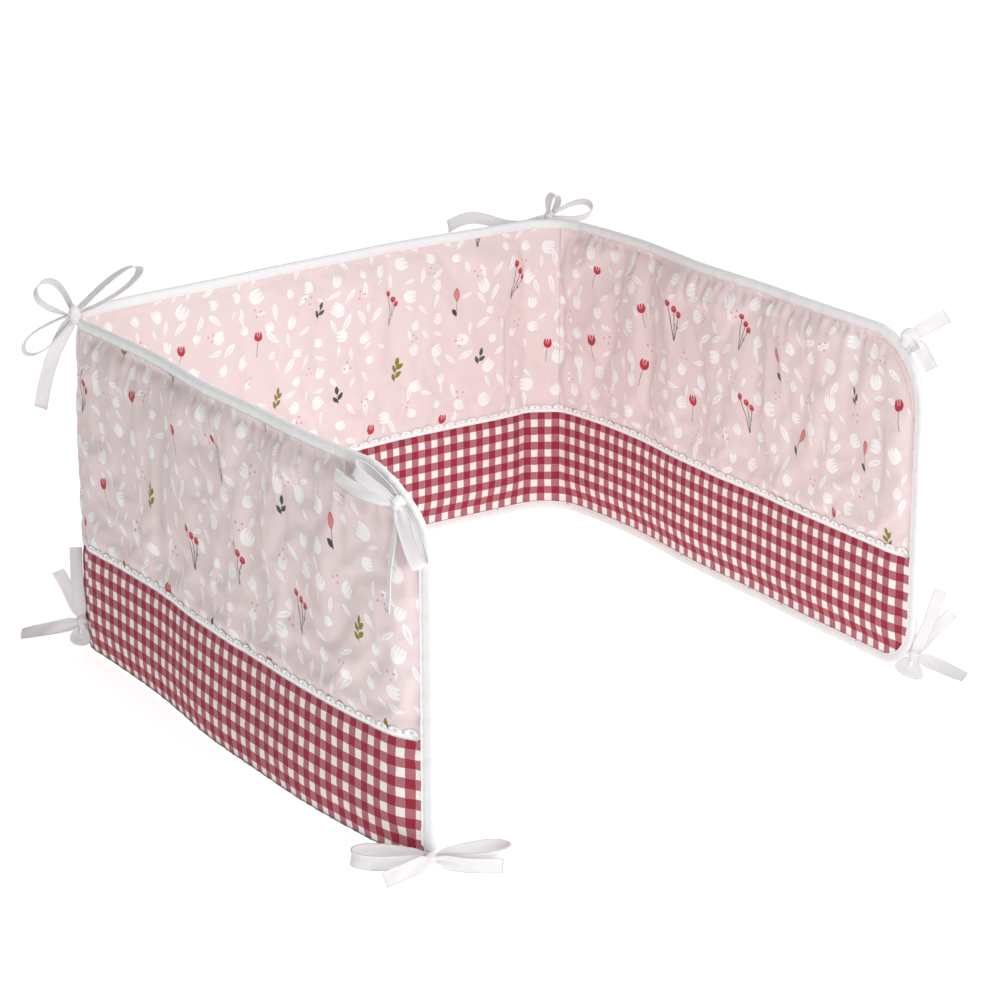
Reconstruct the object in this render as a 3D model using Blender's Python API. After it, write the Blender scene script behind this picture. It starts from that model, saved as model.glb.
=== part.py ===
"""A padded crib bumper that stands on its lower edge in an open U.

Three sections of about 0.60 m meet at two hinged corners: the near section, the mid section and
the right section. The cloth is described flat, by s along the lower edge from the near end round
to the right end and by z up from the floor, and every piece is carried from there onto the plan
curve. Metres, +Z up, the mid section roughly along X, the open side towards -Y.
"""

import math

import bmesh
import bpy
import numpy as np

# ---------------------------------------------------------------- driving dimensions, metres
HEIGHT = 0.310
START = (-0.3338, -0.3008)  # the near end, at the middle of the padding
START_HEADING = 114.0  # degrees from +X
# The plan of the padding's middle line, as a chain of arcs.
# name, length, turn in degrees (+ to the left), widest step between stations
STRETCHES = (
    ("near_end_curl", 0.050, -28.0, 0.010),
    ("near_end_fade", 0.050, -1.5, 0.010),
    ("near_front", 0.255, -8.5, 0.026),
    ("near_back", 0.2085, 8.0, 0.026),
    ("left_corner_in", 0.0175, -17.5, 0.009),
    ("left_hinge", 0.040, -40.0, 0.008),
    ("left_corner_out", 0.0175, -17.5, 0.009),
    ("mid", 0.5295, -15.0, 0.026),
    ("back_corner_in", 0.005, -6.0, 0.005),
    ("back_hinge", 0.040, -50.0, 0.008),
    ("back_corner_out", 0.025, -31.0, 0.0085),
    ("right_front", 0.120, -11.0, 0.020),
    ("right_back", 0.342, 3.0, 0.026),
    ("right_end", 0.100, 1.0, 0.010),
)
HINGES = ("left_hinge", "back_hinge")  # stitched through at both of their edges

TOP_CORNER = 0.070  # radius of the rounded upper corners at both ends
NEAR_FOOT_CORNER = 0.014  # radius of the lower corner at the near end
RIGHT_FOOT_CORNER = 0.045  # and at the right end
OUTER_SEAM = 0.098  # height of the print and check seam on the outer face
INNER_SEAM = 0.1075  # and on the inner face

CROWN = 0.014  # thickness of the padding between its seams
EDGE = 0.0031  # thickness of the padding under the binding
PANEL_MARGIN = 0.002  # how far the panels stop short of the bumper's outline
FLAT_EDGE = 0.0165  # how far in from the outline it stays that thin
FILL_ROUND = 0.032  # and how much farther in it reaches its crown
END_WARP = 0.100  # length at the ends over which the columns close up
SEAM_PINCH = 0.30  # share of the crown lost at the print and check seam
SEAM_SPREAD = 0.012
HINGE_PINCH = 0.75  # and at a stitched hinge line
HINGE_SPREAD = 0.009

BINDING_WIDTH = 0.011  # how far the binding reaches onto each face
BINDING_CLOTH = 0.0012
BINDING_HOLLOW = 0.0053  # width of the channel inside it
FOOT_LIP = 0.0015  # its reach onto the outer face along the floor, where it is rolled inwards
NEAR_LIP_TOP = 0.034  # height at which the near end's outer lip starts to roll in
RIGHT_LIP_FADE = 0.050
LACE_HEIGHT = 0.007
LACE_CLOTH = 0.001
CLEARANCE = 0.0004  # between pieces
SEAM_GAP = 0.001  # between the two panels, straight up

MID_LEAN = -0.006  # how far the top of the mid section leans into the U
NEAR_FOOT_OUT = 0.005  # how far the foot of the near section stands out in its middle
# Soft waves of the whole wall: length, reach at the floor, reach at the top, start
SWAYS = (
    (0.310, 0.0020, 0.0030, 0.4),
    (0.173, 0.0015, 0.0020, 2.1),
)
# Upright folds of the padding: length, depth, start
FOLDS = (
    (0.092, 0.0010, 0.3),
    (0.137, 0.0008, 1.9),
)

TAPE_WIDTH = 0.012
TAPE_CLOTH = 0.001
KNOT = (0.0052, 0.0046, 0.0058)  # half sizes across, back and up
KNOT_HOLD = 0.003  # the tape starts this far from the knot's middle
KNOT_REACH = 0.012  # and is gathered up to this far from it
GATHERED = 0.55  # share of its width at the knot
LOOP_APART = 0.0012  # half the distance between the two arms of a loop at the knot
PETAL_INNER = 0.62  # how far down a petal its slit runs

BOW_TURN = -42.0  # degrees; bows are laid out across, back and up in a frame turned this far
# Each tie: the place of its knot (s along the cloth, distance from the middle line, height), the
# knot's size, and its tapes: kind, end across, back and up from the knot, bulge out of the tape's
# face, bend within it and half waves of that bend, twist in degrees, and the direction of the
# tape's width (for a petal, of its axis). Millimetres, but for s in metres.
BOWS = {
    "tie_left_top": (
        (0.575, 7.0, 315.0),
        1.0,
        (
            ("loop", -31, 4, 26, 11, 0, 1, 0, (0.75, -0.65, 0.0)),
            ("loop", -45, -2, -33, 8, 0, 1, 0, (0.15, -1.0, 0.2)),
            ("loop", 53, 50, 31, 6.5, 0, 1, 0, (0.5, -0.75, 0.1)),
            ("tail", -33, -4, -84, 4, -5, 1, 0, (1.0, 0.1, -0.35)),
        ),
    ),
    "tie_back_top": (
        (1.200, 9.4, 311.0),
        1.0,
        (
            ("tail", -103, -47, -1, -9, -7, 2, 0, (0.0, 0.35, 1.0)),
            ("loop", 6, 2, 22, 5, 0, 1, 0, (0.5, -0.85, 0.0)),
            ("loop", 44, 10, 7, 8, 0, 1, 0, (-0.1, -0.8, 0.55)),
        ),
    ),
    "tie_right_top": (
        (1.775, 0.0, 305.0),
        1.3,
        (
            ("tail", 33, 2, 19, 4, 0, 1, 0, (-0.5, 0.1, 0.85)),
            ("tail", 22, 7, -30, 8, 0, 1, 0, (0.5, -0.35, 0.8)),
            ("tail", 3, -14, -9, 1, 0, 1, 0, (0.75, -0.1, 0.65)),
        ),
    ),
    "tie_right_foot": (
        (1.7988, 0.0, 19.0),
        1.0,
        (
            ("tail", 22, 2, 61, 3, 0, 1, 0, (0.94, 0.2, -0.3)),
            ("tail", 33, 2, 39, -3, 0, 1, 0, (0.75, 0.2, -0.65)),
            ("petal", -7, -14, -16, 13, 0, 1, 0, (0.0, 1.0, 0.0)),
            ("tail", 42, -27, -11, 2, 0, 1, 60, (0.2, 0.0, 1.0)),
        ),
    ),
    "tie_left_foot": (
        (0.588, 8.5, 24.0),
        1.0,
        (
            ("tail", -5, 10, 68, 3, 0, 1, 0, (1.0, -0.3, 0.1)),
            ("tail", -21, 4, 47, -2, 0, 1, 0, (0.85, -0.2, 0.4)),
            ("petal", -3, -7, -21, 12, 0, 1, 0, (0.6, 0.8, 0.0)),
            ("tail", -58, 8, -15, 2, 0, 1, -60, (-0.2, 0.0, 1.0)),
        ),
    ),
    "tie_back_foot": (
        (1.205, 8.0, 24.0),
        1.0,
        (
            ("tail", 8, 12, 66, 3, 0, 1, 0, (1.0, 0.3, -0.1)),
            ("petal", 0, 7, -21, 12, 0, 1, 0, (0.0, 1.0, 0.0)),
            ("tail", -50, 12, -12, 2, 0, 1, 60, (0.2, 0.0, 1.0)),
        ),
    ),
    "tie_near_top": (
        (0.024, 8.8, 285.5),
        1.0,
        (
            ("tail", -49, 53, 6, 8, 0, 1, 0, (0.0, 0.1, 1.0)),
            ("loop", -32, 28, 20, 4, 0, 1, 0, (0.4, -0.5, 0.75)),
            ("tail", -9, -1, -84, 0, -4, 1, 0, (0.25, -1.0, 0.0)),
            ("loop", 17, -21, -43, 4, 0, 1, 0, (0.9, -0.35, 0.35)),
        ),
    ),
    "tie_near_foot": (
        (0.0, 9.0, 6.4),
        1.0,
        (
            ("loop", -61, 6, 0, 16, 0, 1, 0, (0.0, 0.0, 1.0)),
            ("tail", -34, -38, 0, 0, 0, 1, 0, (0.3, -0.4, 0.9)),
            ("loop", 64, 17, 0, 15, 0, 1, 0, (0.0, 0.0, 1.0)),
            ("tail", 55, -12, 0, -5, 0, 1, 0, (0.0, 0.0, 1.0)),
        ),
    ),
}

# Colours, linear: red, green, blue, then roughness
PRINT_PINK = (0.82, 0.62, 0.63, 0.85)
CHECK_RED = (0.45, 0.10, 0.14, 0.85)
LACE_WHITE = (0.86, 0.87, 0.85, 0.80)
BINDING_WHITE = (0.84, 0.86, 0.85, 0.70)
TAPE_WHITE = (0.80, 0.79, 0.79, 0.60)

MM = 0.001
LENGTH = sum(row[1] for row in STRETCHES)


# ---------------------------------------------------------------- the plan and the wall
def stretch_starts():
    """The distance along the cloth, place and heading at which each stretch starts."""
    s = 0.0
    x, y = START
    heading = math.radians(START_HEADING)
    starts = []
    for _, length, turn, _ in STRETCHES:
        starts.append((s, x, y, heading))
        bend = math.radians(turn)
        chord = length * math.sin(bend / 2) / (bend / 2)
        x += chord * math.cos(heading + bend / 2)
        y += chord * math.sin(heading + bend / 2)
        heading += bend
        s += length
    return starts


STARTS = stretch_starts()


def plan(s):
    """The middle line's place and its unit normal towards the outside, at a distance s."""
    index = max(i for i, start in enumerate(STARTS) if i == 0 or start[0] <= s)
    s0, x0, y0, heading = STARTS[index]
    _, length, turn, _ = STRETCHES[index]
    curvature = math.radians(turn) / length
    half = curvature * (s - s0) / 2
    chord = (s - s0) * (math.sin(half) / half if half else 1.0)
    place = np.array((x0 + chord * math.cos(heading + half), y0 + chord * math.sin(heading + half)))
    ahead = heading + 2 * half
    return place, np.array((-math.sin(ahead), math.cos(ahead)))


def span(name):
    """The distances at which a named stretch starts and ends."""
    index = [row[0] for row in STRETCHES].index(name)
    return STARTS[index][0], STARTS[index][0] + STRETCHES[index][1]


def stations():
    """Distances along the cloth, every stretch cut into equal steps."""
    marks = [0.0]
    for (s0, _, _, _), (_, length, _, step) in zip(STARTS, STRETCHES):
        count = math.ceil(length / step - 1e-6)
        marks += [s0 + length * (i + 1) / count for i in range(count)]
    return marks


STATIONS = stations()


def mid_share(s):
    """1 in the middle of the mid section and 0 at its corners, as an arch."""
    low, high = span("mid")
    return max(0.0, 1.0 - (2 * (s - low) / (high - low) - 1.0) ** 2)


def sway(s, z):
    """How far the wall's middle surface stands out from the plan curve."""
    up = z / HEIGHT
    reach = sum(
        (foot + (top - foot) * up) * math.sin(2 * math.pi * s / length + start)
        for length, foot, top, start in SWAYS
    )
    near_share = math.sin(math.pi * min(1.0, s / span("near_back")[1]))
    foot = NEAR_FOOT_OUT * near_share * (1.0 - up) ** 2
    return reach + foot + MID_LEAN * mid_share(s) * up**1.5


def on_wall(s, z, out=0.0):
    """The point of the standing wall at s and z, a distance out from its middle surface."""
    place, normal = plan(min(max(s, 0.0), LENGTH))
    x, y = place + normal * (sway(s, z) + out)
    return x, y, z


# ---------------------------------------------------------------- the padding
def corner_inset(z, inward, foot_corner):
    """How far the rounded end lies in from a square one at height z, a distance inward."""
    for radius, depth in ((TOP_CORNER, HEIGHT - z), (foot_corner, z)):
        if depth < radius:
            round_off = radius - inward
            drop = min(radius - depth, round_off)
            return round_off - math.sqrt(round_off**2 - drop**2)
    return 0.0


def from_outline(s, z):
    """The distance of a point of the cloth from its outline, a rectangle with rounded corners."""
    from_end = min(s, LENGTH - s)
    foot_corner = NEAR_FOOT_CORNER if s < LENGTH / 2 else RIGHT_FOOT_CORNER
    distance = min(from_end, z, HEIGHT - z)
    for radius, depth in ((TOP_CORNER, HEIGHT - z), (foot_corner, z)):
        if from_end < radius and depth < radius:
            distance = min(distance, radius - math.hypot(radius - from_end, radius - depth))
    return distance


def rounded(share):
    """A quarter of a sine wave: 0 at 0, level from 1."""
    return math.sin(math.pi / 2 * min(max(share, 0.0), 1.0))


def settled(s, z):
    """Where a station lies at height z, the columns near the ends closed up round the corners."""
    near = PANEL_MARGIN + corner_inset(z, PANEL_MARGIN, NEAR_FOOT_CORNER)
    right = PANEL_MARGIN + corner_inset(z, PANEL_MARGIN, RIGHT_FOOT_CORNER)
    near *= max(0.0, 1.0 - s / END_WARP)
    right *= max(0.0, 1.0 - (LENGTH - s) / END_WARP)
    return s + near - right


def seam_height(side):
    return OUTER_SEAM if side > 0 else INNER_SEAM


def half_thickness(s, z, side):
    """The padding on one side of the middle surface: crown, pinched seams and soft folds."""
    crown = rounded((from_outline(s, z) - FLAT_EDGE) / FILL_ROUND)
    seam = (z - seam_height(side)) / SEAM_SPREAD
    crown *= 1.0 - SEAM_PINCH * math.exp(-seam * seam)
    for name in HINGES:
        for line in span(name):
            hinge = (s - line) / HINGE_SPREAD
            crown *= 1.0 - HINGE_PINCH * math.exp(-hinge * hinge)
    folds = sum(
        depth * math.sin(2 * math.pi * s / length + start + side)
        for length, depth, start in FOLDS
    )
    return EDGE / 2 + crown * ((CROWN - EDGE) / 2 + folds * z / HEIGHT)


# ---------------------------------------------------------------- shapes from primitives
def lattice_box(columns, rows):
    """A unit box cut into columns along X and rows along Z."""
    shape = bmesh.new()
    bmesh.ops.create_cube(shape, size=1.0)
    bmesh.ops.translate(shape, verts=shape.verts, vec=(0.5, 0.0, 0.5))
    for axis, count in ((0, columns), (2, rows)):
        if count > 1:
            along = [e for e in shape.edges if abs(e.verts[0].co[axis] - e.verts[1].co[axis]) > 0.5]
            bmesh.ops.subdivide_edges(shape, edges=along, cuts=count - 1, use_grid_fill=True)
    return shape


def outward(shape):
    """Turns the faces of a closed shape outwards."""
    if shape.calc_volume(signed=True) < 0.0:
        bmesh.ops.reverse_faces(shape, faces=shape.faces)
    return shape


def carried(shape, place):
    """Carries each vertex of a lattice box to place(x, side, z)."""
    for vertex in shape.verts:
        x, y, z = vertex.co
        vertex.co = place(x, 1.0 if y > 0 else -1.0, z)
    return outward(shape)


def in_triangles(shape):
    """Cuts the faces the same way in every piece, so that neighbours keep their distance."""
    bmesh.ops.triangulate(shape, faces=shape.faces, quad_method="SHORT_EDGE")
    return shape


def finished(name, shape, material, collection):
    """Puts a bmesh into an object of its own."""
    mesh = bpy.data.meshes.new(name)
    shape.to_mesh(mesh)
    shape.free()
    piece = bpy.data.objects.new(name, mesh)
    collection.objects.link(piece)
    if material:
        mesh.materials.append(material)
        mesh.shade_smooth()
    return piece


def padded_panel(name, heights, material, collection):
    """A filled panel between the listed heights, one pair (outer, inner) for each row."""
    shape = lattice_box(len(STATIONS) - 1, len(heights) - 1)

    def place(x, side, z):
        outer, inner = heights[round(z * (len(heights) - 1))]
        height = outer if side > 0 else inner
        s = settled(STATIONS[round(x * (len(STATIONS) - 1))], height)
        return on_wall(s, height, side * half_thickness(s, height, side))

    return finished(name, in_triangles(carried(shape, place)), material, collection)


def lace_strip(name, side, material, collection):
    """A thin upright strip on one face, its foot in the seam."""
    marks = [s for s in STATIONS if 0.012 < s < LENGTH - 0.012]
    shape = lattice_box(len(marks) - 1, 1)
    foot = seam_height(side)

    def place(x, y_side, z):
        s = settled(marks[round(x * (len(marks) - 1))], foot)
        share = LACE_HEIGHT / PRINT_FIRST_ROW * z
        low = half_thickness(s, foot, side)
        high = half_thickness(s, foot + PRINT_FIRST_ROW, side)
        out = low + (high - low) * share + CLEARANCE + (LACE_CLOTH if y_side > 0 else 0.0)
        return on_wall(s, foot + LACE_HEIGHT * z, side * out)

    return finished(name, in_triangles(carried(shape, place)), material, collection)


# ---------------------------------------------------------------- the binding
def outline():
    """Points round the cloth's edge: s, z, the inward direction and the reach onto the outer face."""
    points = []

    def corner(centre_s, centre_z, radius, first, steps, lips):
        for i in range(steps + 1):
            angle = math.radians(first - 90.0 * i / steps)
            a, b = math.cos(angle), math.sin(angle)
            lip = lips[0] + (lips[1] - lips[0]) * i / steps
            points.append((centre_s + radius * a, centre_z + radius * b, -a, -b, lip))

    def run(marks, z, inward, lip):
        points.extend((s, z, 0.0, inward, lip) for s in marks)

    full = (BINDING_WIDTH, BINDING_WIDTH)
    rolled = (FOOT_LIP, FOOT_LIP)
    spare = 0.004  # nearest station to a corner
    low, high = TOP_CORNER, LENGTH - TOP_CORNER
    run([s for s in STATIONS if low + spare < s < high - spare], HEIGHT, -1.0, BINDING_WIDTH)
    corner(high, HEIGHT - TOP_CORNER, TOP_CORNER, 90.0, 9, full)
    for share in (0.25, 0.5, 0.75):
        z = HEIGHT - TOP_CORNER + (RIGHT_FOOT_CORNER - HEIGHT + TOP_CORNER) * share
        points.append((LENGTH, z, -1.0, 0.0, BINDING_WIDTH))
    low, high = NEAR_FOOT_CORNER, LENGTH - RIGHT_FOOT_CORNER
    corner(high, RIGHT_FOOT_CORNER, RIGHT_FOOT_CORNER, 0.0, 6, full)
    for s in reversed([s for s in STATIONS if low + spare < s < high - spare]):
        fade = min(1.0, (high - s) / RIGHT_LIP_FADE)
        points.append((s, 0.0, 0.0, 1.0, BINDING_WIDTH + (FOOT_LIP - BINDING_WIDTH) * fade))
    corner(low, NEAR_FOOT_CORNER, NEAR_FOOT_CORNER, 270.0, 4, rolled)
    for z in (NEAR_LIP_TOP, 0.100, 0.170):
        points.append((0.0, z, 1.0, 0.0, BINDING_WIDTH))
    corner(TOP_CORNER, HEIGHT - TOP_CORNER, TOP_CORNER, 180.0, 9, full)
    return points


def binding(material, collection):
    """A folded strip round the whole edge, a torus whose section becomes a channel of cloth."""
    points = outline()
    inner = BINDING_HOLLOW / 2
    outer = inner + BINDING_CLOTH
    bpy.ops.mesh.primitive_torus_add(major_segments=len(points), minor_segments=8)
    piece = bpy.context.active_object
    piece.name = "binding"
    for ring, (s, z, a, b, lip) in enumerate(points):
        section = (
            (lip, outer),
            (0.0, outer),
            (0.0, -outer),
            (BINDING_WIDTH, -outer),
            (BINDING_WIDTH, -inner),
            (BINDING_CLOTH, -inner),
            (BINDING_CLOTH, inner),
            (max(lip, BINDING_CLOTH + 0.0002), inner),
        )
        for step, (depth, out) in enumerate(section):
            vertex = piece.data.vertices[ring * 8 + step]
            vertex.co = on_wall(s + a * depth, z + b * depth, out)
    shape = bmesh.new()
    shape.from_mesh(piece.data)
    bpy.data.objects.remove(piece)
    return finished("binding", in_triangles(outward(shape)), material, collection)


# ---------------------------------------------------------------- the ties
def unit(vector):
    return vector / np.linalg.norm(vector)


def tape_edges(row, t):
    """The tape's two edges at t from 0 to 1, in millimetres from the knot.

    A loop runs out and back as a teardrop, a tail runs to its free end in a gentle wave, and a
    petal is a loop pressed flat, whose inner edge is a slit.
    """
    kind, bulge, bend, waves, twist, width = row[0], *row[4:]
    end = np.array(row[1:4], float)
    along = unit(end)
    across = unit(width - along * np.dot(width, along))
    side = np.cross(across, along)
    if kind == "tail":
        middle = end * t + side * bulge * math.sin(math.pi * t)
        middle += across * bend * math.sin(math.pi * waves * t)
        turned = math.radians(twist) * t
        across = across * math.cos(turned) + side * math.sin(turned)
        reach = np.linalg.norm(end) * t
    else:
        out = math.sin(math.pi * t)
        apart = LOOP_APART / MM * math.cos(math.pi * t)
        middle = end * out + side * (apart + bulge * math.sin(2 * math.pi * t))
        reach = np.linalg.norm(end) * out
    if kind == "petal":
        return end * out * PETAL_INNER + side * apart, middle
    share = min(1.0, reach * MM / KNOT_REACH)
    half = TAPE_WIDTH / MM / 2 * (GATHERED + (1.0 - GATHERED) * share * share * (3 - 2 * share))
    return middle - across * half, middle + across * half


def bow_frame():
    """The bows' own directions across, back and up, as rows of a matrix."""
    turn = math.radians(BOW_TURN)
    across = (math.cos(turn), math.sin(turn), 0.0)
    back = (-math.sin(turn), math.cos(turn), 0.0)
    return np.array((across, back, (0.0, 0.0, 1.0)))


def tape(name, row, centre, frame, collection):
    """One tape of a bow, a box bent along its path."""
    is_tail = row[0] == "tail"
    steps = 8 if is_tail else 14
    first = KNOT_HOLD / MM / np.linalg.norm(row[1:4]) / (1.0 if is_tail else math.pi)
    last = 1.0 if is_tail else 1.0 - first
    shape = lattice_box(steps, 1)

    def edges(t):
        return [centre + (edge * MM) @ frame for edge in tape_edges(row, t)]

    def place(x, side, z):
        t = first + (last - first) * x
        low, high = edges(t)
        before, after = (sum(edges(t + d)) / 2 for d in (-0.01, 0.01))
        face = unit(np.cross(after - before, high - low))
        return low + (high - low) * z + face * side * TAPE_CLOTH / 2

    return finished(name, carried(shape, place), None, collection)


def bow(name, material, collection, tapes):
    """A tie: the knot, with its loops and free ends joined to it."""
    (s, out, height), size, rows = BOWS[name]
    frame = bow_frame()
    centre = np.array(on_wall(s, height * MM, out * MM))
    shape = bmesh.new()
    bmesh.ops.create_uvsphere(shape, u_segments=10, v_segments=7, radius=1.0)
    for vertex in shape.verts:
        vertex.co = centre + (np.array(vertex.co) * KNOT * size) @ frame
    knot = finished(name, outward(shape), material, collection)
    for number, row in enumerate(rows):
        piece = tape(f"{name}_tape_{number}", row, centre, frame, tapes)
        piece.hide_render = True
        piece.display_type = "WIRE"
        joined = knot.modifiers.new(f"tape_{number}", "BOOLEAN")
        joined.operation = "UNION"
        joined.solver = "EXACT"
        joined.object = piece
    return knot


# ---------------------------------------------------------------- the whole bumper
CHECK_ROWS = (PANEL_MARGIN, 0.007, 0.0145, 0.022, 0.036, 0.056, 0.080)
PRINT_FIRST_ROW = 0.022
PRINT_ROWS = (0.150, 0.182, 0.214, 0.244, 0.270, 0.287, 0.2955, HEIGHT - PANEL_MARGIN)


def cloth(name, finish):
    """A plain cloth material."""
    material = bpy.data.materials.new(name)
    material.use_nodes = True
    shader = material.node_tree.nodes["Principled BSDF"]
    shader.inputs["Base Color"].default_value = (*finish[:3], 1.0)
    shader.inputs["Roughness"].default_value = finish[3]
    shader.inputs["Metallic"].default_value = 0.0
    material.diffuse_color = (*finish[:3], 1.0)
    return material


def new_collection(name):
    collection = bpy.data.collections.new(name)
    bpy.context.scene.collection.children.link(collection)
    return collection


def main():
    for old in list(bpy.data.objects):
        bpy.data.objects.remove(old)
    bumper = new_collection("crib_bumper")
    tapes = new_collection("tie_tapes")

    below, above = ((OUTER_SEAM + gap, INNER_SEAM + gap) for gap in (-SEAM_GAP / 2, SEAM_GAP / 2))
    first = (OUTER_SEAM + PRINT_FIRST_ROW, INNER_SEAM + PRINT_FIRST_ROW)
    lower = (*((z, z) for z in CHECK_ROWS), below)
    upper = (above, first, *((z, z) for z in PRINT_ROWS))
    padded_panel("gingham_panel", lower, cloth("gingham", CHECK_RED), bumper)
    padded_panel("print_panel", upper, cloth("print", PRINT_PINK), bumper)

    lace = cloth("lace", LACE_WHITE)
    lace_strip("lace_outer", 1.0, lace, bumper)
    lace_strip("lace_inner", -1.0, lace, bumper)
    binding(cloth("binding_cloth", BINDING_WHITE), bumper)
    tape_cloth = cloth("tape_cloth", TAPE_WHITE)
    for name in BOWS:
        bow(name, tape_cloth, bumper, tapes)


main()
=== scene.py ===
"""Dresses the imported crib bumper: padded printed cloth, gingham, lace, binding and bows.

The cloth is described flat, by s along the lower edge from the near end round to the right end and
by z up from the floor, as in the part, and is carried from there onto the standing wall. Metres.
"""

import math

import bpy
import numpy as np
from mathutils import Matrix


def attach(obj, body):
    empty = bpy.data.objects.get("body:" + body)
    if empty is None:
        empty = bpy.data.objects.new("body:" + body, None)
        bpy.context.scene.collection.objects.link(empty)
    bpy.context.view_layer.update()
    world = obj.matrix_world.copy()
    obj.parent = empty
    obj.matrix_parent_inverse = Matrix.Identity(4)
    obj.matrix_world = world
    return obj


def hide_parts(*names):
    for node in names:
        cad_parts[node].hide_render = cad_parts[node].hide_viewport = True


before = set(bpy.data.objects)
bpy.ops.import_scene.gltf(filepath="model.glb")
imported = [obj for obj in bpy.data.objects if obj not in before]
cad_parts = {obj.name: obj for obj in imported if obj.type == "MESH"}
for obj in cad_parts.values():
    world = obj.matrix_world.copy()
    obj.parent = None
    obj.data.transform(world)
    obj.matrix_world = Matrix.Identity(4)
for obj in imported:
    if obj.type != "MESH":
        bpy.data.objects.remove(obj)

bl_info = {
    "name": "Crib bumper",
    "version": (1, 0, 0),
    "blender": (4, 5, 0),
    "location": "View3D > Sidebar > Crib bumper",
    "description": "Padded crib bumper with printed cloth, gingham, lace, binding and bows",
    "category": "Add Mesh",
}

MM = 0.001

# ---------------------------------------------------------------- sizes shared with the part
HEIGHT = 0.310
START = (-0.3338, -0.3008)
START_HEADING = 114.0  # degrees from +X
# The plan of the padding's middle line, as a chain of arcs: name, length, turn in degrees
STRETCHES = (
    ("near_end_curl", 0.050, -28.0),
    ("near_end_fade", 0.050, -1.5),
    ("near_front", 0.255, -8.5),
    ("near_back", 0.2085, 8.0),
    ("left_corner_in", 0.0175, -17.5),
    ("left_hinge", 0.040, -40.0),
    ("left_corner_out", 0.0175, -17.5),
    ("mid", 0.5295, -15.0),
    ("back_corner_in", 0.005, -6.0),
    ("back_hinge", 0.040, -50.0),
    ("back_corner_out", 0.025, -31.0),
    ("right_front", 0.120, -11.0),
    ("right_back", 0.342, 3.0),
    ("right_end", 0.100, 1.0),
)
LENGTH = sum(row[1] for row in STRETCHES)
TOP_CORNER = 0.070
NEAR_FOOT_CORNER = 0.014
RIGHT_FOOT_CORNER = 0.045
SEAM = {1: 0.098, -1: 0.1075}  # height of the print and check seam, outer face and inner face
EDGE = 0.0031  # thickness of the padding under the binding
MARGIN = 0.002  # how far the panels stop short of the outline
FLAT_EDGE = 0.0165  # how far in from the outline the padding starts to rise
END_WARP = 0.100  # how far from the ends the cloth's columns close up
SEAM_GAP = 0.001  # between the print and the check
MID_LEAN = -0.006  # how far the top of the middle section leans
NEAR_FOOT_OUT = 0.005  # how far the foot of the near section stands out
NEAR_SEAM_IN, NEAR_SEAM_SPREAD = 0.0032, 0.070  # the seam draws the near wall in a little
# Slow waves of the wall: length, size at the foot, size at the top, start
SWAYS = (
    (0.310, 0.0008, 0.0014, 0.4),
    (0.173, 0.0005, 0.0008, 2.1),
)
# Soft waves in the padding: length, size, start
FOLDS = (
    (0.092, 0.0010, 0.3),
    (0.137, 0.0008, 1.9),
)
FOOT_LIP = 0.0015  # how far the binding reaches up the outer face along the foot
RIGHT_LIP_FADE = 0.050  # it shrinks to that over this length

# ---------------------------------------------------------------- the padding
CROWN = 0.0125  # thickness between seams before the wadding swells
FILL_ROUND, FOOT_ROUND = 0.026, 0.016  # how far in the padding reaches its crown
FOOT_EASE = 0.030  # the outer foot has no binding over it, so its padding starts nearer the edge
FOOT_TOP = 0.072  # where that foot's shorter rounding has faded out
SEAM_PINCH, SEAM_SPREAD = 0.28, 0.009  # share of the crown lost at the seam, and how far from it
HINGE_PINCH, HINGE_SPREAD = 0.85, 0.007  # the same at the hinge lines
HELD_EDGE = 0.012  # the binding holds the cloth this far in
GRID = 0.005  # spacing of the simulated cloth, halved by the subdivision after it
SEAM_HELD, HINGE_HELD = 0.7 * GRID, 0.6 * GRID  # seams and hinge lines hold it this near
SWELL_FRAMES = 16
SWELL_LIMIT = 0.0045  # how far a point may move
SWELL_CLOTH = {
    "quality": 4,
    "mass": 0.15,
    "tension_stiffness": 25,
    "compression_stiffness": 25,
    "shear_stiffness": 12,
    "bending_stiffness": 0.08,
    "use_pressure": True,
    "uniform_pressure_force": 1.2,
    "shrink_min": -0.035,
    "vertex_group_mass": "held",
    "pin_stiffness": 1.0,
}
PRINT_HOLD, CHECK_HOLD = 0.12, 0.85  # how firmly each cloth is held away from its seams
SEAM_EASE = 0.024  # the print's hold fades this far above the seam
SECTIONS = (("near", 0.0, 0.581), ("mid", 0.581, 1.213), ("right", 1.213, LENGTH))
HINGE_LINES = (0.581, 0.621, 1.173, 1.213)
INNER_START = 4.0  # where the inner face's pattern starts, past the end of the outer face's
BAKE_GAP, BAKE_RIM = 0.004, 0.004  # between the parts of a pad's OFBake UV map, and a rim's width
REACH_CELL = 0.006  # cell of the table of the padding's reach
CREASE_FROM, CREASE_RISE = 0.008, 0.006  # creases start this far in, and grow over this length
CREASE_ROOM = 0.02  # how far round its run a crease is worked out
CREASE_SEED = 11
# Ranges of its random draws: place in its share of the edge, slant, and factors for its length,
# for its width as a share of the spacing, and for its depth
CREASE_PLACE, CREASE_SLANT = (0.15, 0.85), (-0.22, 0.22)
CREASE_RUN, CREASE_WIDTH, CREASE_DEPTH = (0.45, 1.45), (0.16, 0.30), (0.35, 1.25)
CREASE_WIDEST = 0.0060  # no crease is wider than this
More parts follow.
